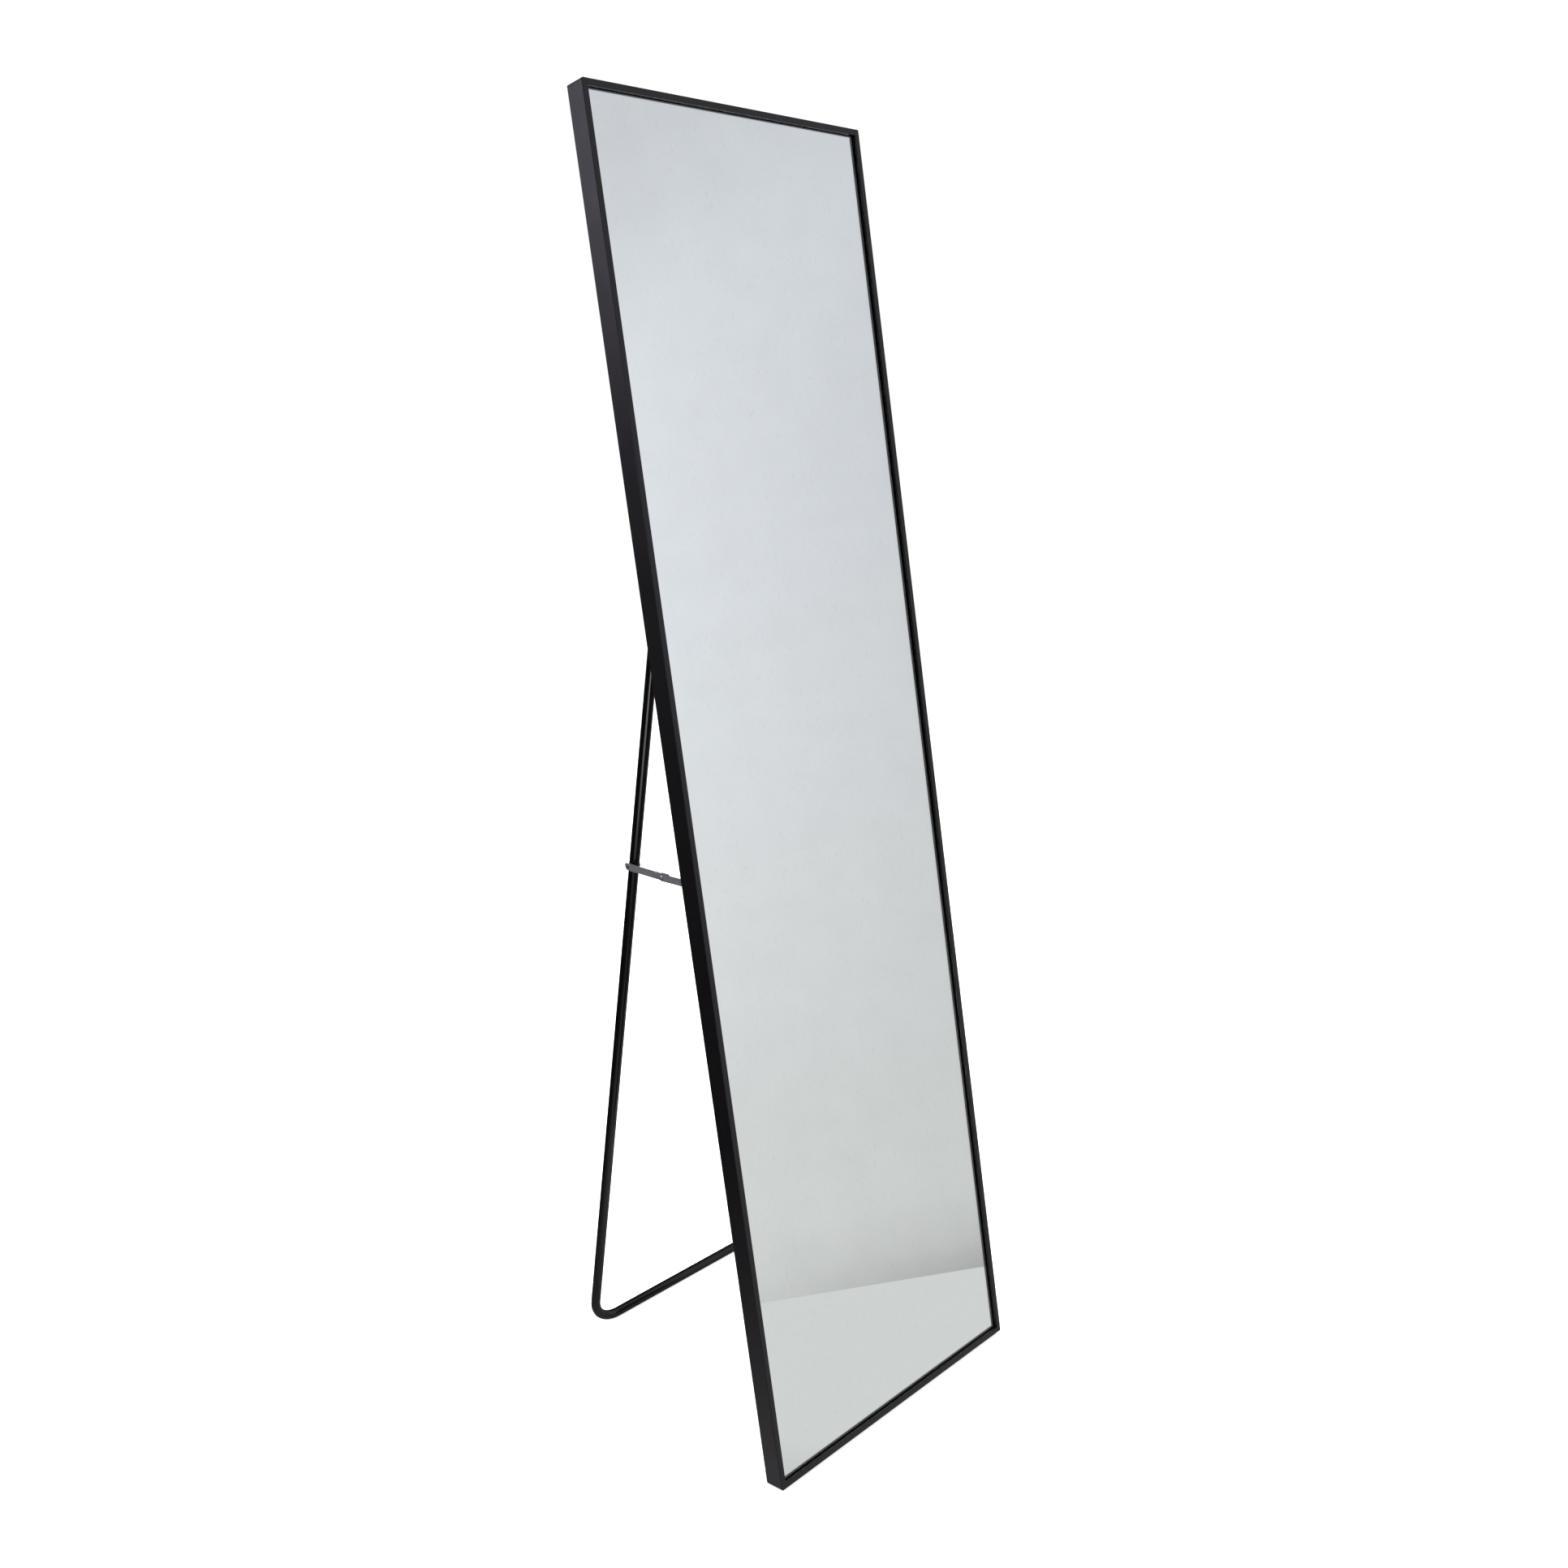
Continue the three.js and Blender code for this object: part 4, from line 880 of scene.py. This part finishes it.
# %% [markdown]
# ## Stage
# The photo is cut out on pure white, and its glass shows the room that it was taken in. So the stage has two
# halves: a white floor and backdrop for the camera, and a wall and a floor that only reflections see.

# %% Stage helpers
def glow(name, paint):
    """An emission material. paint gets the tree and Object coordinates, and returns colour and strength."""
    material = bpy.data.materials.new(name)
    material.use_nodes = True
    tree = material.node_tree
    tree.nodes.clear()
    where = add_node(tree, "ShaderNodeTexCoord").outputs["Object"]
    colour, strength = paint(tree, where)
    light = add_node(tree, "ShaderNodeEmission", {"Color": colour, "Strength": strength})
    add_node(tree, "ShaderNodeOutputMaterial", {"Surface": light.outputs[0]})
    return material


def stage_piece(name, bm, finish, camera=True, reflections=True, light=True):
    """A piece of the stage, and which rays see it."""
    mesh = bpy.data.meshes.new(name)
    bm.to_mesh(mesh)
    bm.free()
    mesh.materials.append(finish)
    obj = new_object(name, mesh)
    obj.visible_camera = camera
    obj.visible_glossy = obj.visible_transmission = reflections
    obj.visible_diffuse = obj.visible_shadow = light
    return obj


def quad(corners):
    """A bmesh with one face through four corners."""
    bm = bmesh.new()
    bm.faces.new([bm.verts.new(corner) for corner in corners])
    return bm


def square_floor(half):
    """A level square round the origin, of this half width."""
    return quad([(x * half, y * half, 0) for x, y in ((-1, -1), (1, -1), (1, 1), (-1, 1))])


def curve_of(tree, value, full, stops):
    """A smooth curve through (value, height) stops, from 0 to full, as a black and white ramp."""
    ramp = add_node(tree, "ShaderNodeValToRGB", {"Fac": spread(tree, value, 0, 1, 0, full)})
    ramp.color_ramp.interpolation = "CARDINAL"
    while len(ramp.color_ramp.elements) < len(stops):
        ramp.color_ramp.elements.new(0.5)
    for element, (at, height) in zip(ramp.color_ramp.elements, stops):
        element.position = at / full
        element.color = (height, height, height, 1)
    return ramp.outputs["Color"]


# %% [markdown]
# ### White floor and backdrop
# The floor and a dome over it glow white for the camera, and the floor keeps only a trace of contact shadow.
# It glows a little more with distance, where less of the soft boxes' light reaches it.

# %% White floor and backdrop
STAGE_RADIUS = 9
NEAR_GLOW, FAR_GLOW, NEAR, FAR = 0.86, 1.02, 0.7, 2.0
studio_white, tree, shader, where = start_material(
    "studio_floor_paint", Specular_IOR_Level=0.0, Roughness=1.0
)
distance = add_node(tree, "ShaderNodeVectorMath", {0: where}, operation="LENGTH").outputs["Value"]
tree.links.new(spread(tree, distance, NEAR_GLOW, FAR_GLOW, NEAR, FAR), shader.inputs["Emission Strength"])
white = tint(tree, pattern(tree, where, 900, 2), "#fdfdfd", "#ffffff")
tree.links.new(white, shader.inputs["Base Color"])
tree.links.new(white, shader.inputs["Emission Color"])
stage_piece("studio_floor", square_floor(STAGE_RADIUS), studio_white, reflections=False)


def white_sky(tree, where):
    """The backdrop's white, hardly mottled."""
    return tint(tree, pattern(tree, where, 4000, 1), "#fefefe", "#ffffff"), 1.05


bm = bmesh.new()
bmesh.ops.create_uvsphere(bm, u_segments=32, v_segments=16, radius=STAGE_RADIUS)
stage_piece("backdrop_dome", bm, glow("white_backdrop", white_sky), reflections=False, light=False)
print("white floor and backdrop reach", STAGE_RADIUS, "m")

# %% [markdown]
# ### Room in the glass
# The glass shows a pale wall, which stands to the mirror's front right, and a grey floor. Both glow, and
# their
# light and shade are painted: the wall is painted brighter to the left and with painted shade at its foot.
# Beside and behind the mirror the floor is painted dark, which keeps the black frame black. A painted pool of
# light under the camera puts a sheen on the frame's lower end.

# %% Room wall
WALL_NORMAL, WALL_DISTANCE = Vector((0.854, -0.52, 0)), 0.5125
WALL_LEFT, WALL_RIGHT, WALL_HEIGHT = -3, 0.9, 2.6
SLOPE_START = -0.1
CURVE_TOP = 2

# The wall's painted light and shade, and how much of it slopes along the wall, as (metres above the floor,
# value).
painted_light_levels = [(0, 0.40), (0.04, 0.5), (0.11, 0.595), (0.32, 0.62), (0.8, 0.68), (1.35, 0.72), (1.55, 0.71),
               (1.75, 0.645)]
painted_light_slopes = [(0, 0.5), (0.06, 0.24), (0.17, 0.13), (0.6, 0.24), (1.1, 0.3), (1.4, 0.28), (1.6, 0.1),
               (1.75, 0)]


def painted_wall_light(tree, where):
    """Pale wall with painted light: cool above and warmer below, its brightness sloping along the wall."""
    place = add_node(tree, "ShaderNodeSeparateXYZ", {"Vector": where})
    across, height = place.outputs["X"], place.outputs["Z"]
    # The glow's painted light and shade: darkest at the wall's foot, brighter to the left.
    level = curve_of(tree, height, CURVE_TOP, painted_light_levels)
    fall = curve_of(tree, height, CURVE_TOP, painted_light_slopes)
    left = add_node(tree, "ShaderNodeMath", {0: SLOPE_START, 1: across}, operation="SUBTRACT").outputs[0]
    light = add_node(tree, "ShaderNodeMath", {0: fall, 1: left, 2: level}, operation="MULTIPLY_ADD")
    plaster = spread(tree, pattern(tree, where, 60, 4), 1.065, 1.105)
    shade = add_node(tree, "ShaderNodeMath", {0: light.outputs[0], 1: plaster}, operation="MULTIPLY")
    hue = tint(tree, spread(tree, height, 0, 1, 0.1, 1.2), "#fafdfc", "#f4f8ff")
    return hue, shade.outputs[0]


wall_face = quad([
    (WALL_LEFT, 0, 0), (WALL_RIGHT, 0, 0), (WALL_RIGHT, 0, WALL_HEIGHT), (WALL_LEFT, 0, WALL_HEIGHT),
])
wall = stage_piece("room_wall", wall_face, glow("room_painted_wall_light", painted_wall_light), camera=False, light=False)
wall_turn = math.atan2(WALL_NORMAL.x, -WALL_NORMAL.y)
wall.matrix_world = Matrix.Translation(WALL_NORMAL * WALL_DISTANCE) @ Matrix.Rotation(wall_turn, 4, "Z")
print("wall stands", WALL_DISTANCE, "m away, turned by", round(math.degrees(wall_turn), 1), "degrees")

# %% Room floor
ROOM_HALF, ROOM_DROP = 4, 0.001
# The painted pool of light under the camera: its centre, turn, shape and glow.
POOL_CENTRE, POOL_TURN, POOL_SHAPE, POOL_GLOW = (-1.6, -1.45, 0), math.radians(47), (1.2, 0.85, 1), 6.0


def floor_paint(tree, where):
    """Grey floor with painted light: lit before the mirror, dark behind and beside it, a lit pool under the
    camera.
    """
    place = add_node(tree, "ShaderNodeSeparateXYZ", {"Vector": where})
    # Painted shade behind and beside the mirror, and a painted pool of light under the camera.
    behind = spread(tree, place.outputs["Y"], 1.0, 0.03, -0.2, 0.4)
    beside = spread(tree, place.outputs["X"], 0.04, 1.0, -0.75, -0.1)
    oval = add_node(tree, "ShaderNodeMapping", {
        "Vector": where, "Location": POOL_CENTRE, "Rotation": (0, 0, POOL_TURN), "Scale": POOL_SHAPE,
    }, vector_type="TEXTURE")
    reach = add_node(tree, "ShaderNodeVectorMath", {0: oval.outputs[0]}, operation="LENGTH")
    pool = spread(tree, reach.outputs["Value"], POOL_GLOW, 0.0, 0.3, 1.0)
    light = add_node(tree, "ShaderNodeMath", {0: behind, 1: beside, 2: pool}, operation="MULTIPLY_ADD")
    grey = tint(tree, pattern(tree, where, 250, 3), "#d4d7d7", "#d6d9d9")
    return grey, light.outputs[0]


room_floor = stage_piece("room_floor", square_floor(ROOM_HALF), glow("room_floor_painted_light", floor_paint),
                         camera=False, light=False)
room_floor.location.z = -ROOM_DROP

# %% [markdown]
# ## Light
# Soft boxes from the left, the right front, above and behind, and a nearly dark sky. Black metal shows little
# more than what it mirrors, so a pale card high at the left back draws the top of the frame's side.

# %% Lights and world
def soft_box(name, place, target, size, power, colour="#ffffff"):
    """A rectangular light aimed at target: size is its width and height in metres, power is in watts."""
    data = bpy.data.lights.new(name, "AREA")
    data.shape = "RECTANGLE"
    data.size, data.size_y = size
    data.energy = power
    data.color = linear(colour)[:3]
    light = new_object(name, data)
    light.location = place
    light.rotation_mode = "QUATERNION"
    light.rotation_quaternion = (Vector(target) - Vector(place)).to_track_quat("-Z", "Y")


soft_box("key_box", (-2.9, -0.8, 1.9), (0, 0, 0.8), (1.0, 1.6), 20)
soft_box("fill_box", (2.2, -2.4, 2.2), (0, 0, 0.7), (1.8, 1.8), 16)
soft_box("top_box", (0, 0.2, 3.6), (0, 0, 0), (2.4, 2.4), 140)
soft_box("back_card", (-2.6, 2.3, 2.2), (0, 0, 1.3), (1.5, 1.6), 27, "#f1efff")
soft_box("back_fill", (0.2, 3.3, 1.9), (0, 0, 0.7), (1.4, 1.6), 44)
world = bpy.data.worlds.new("dim_studio")
world.use_nodes = True
sky = world.node_tree.nodes["Background"].inputs
sky["Color"].default_value = linear("#f6f3fb")
sky["Strength"].default_value = 0.06
scene.world = world
scene.view_settings.view_transform = "Standard"
scene.view_settings.look = "None"
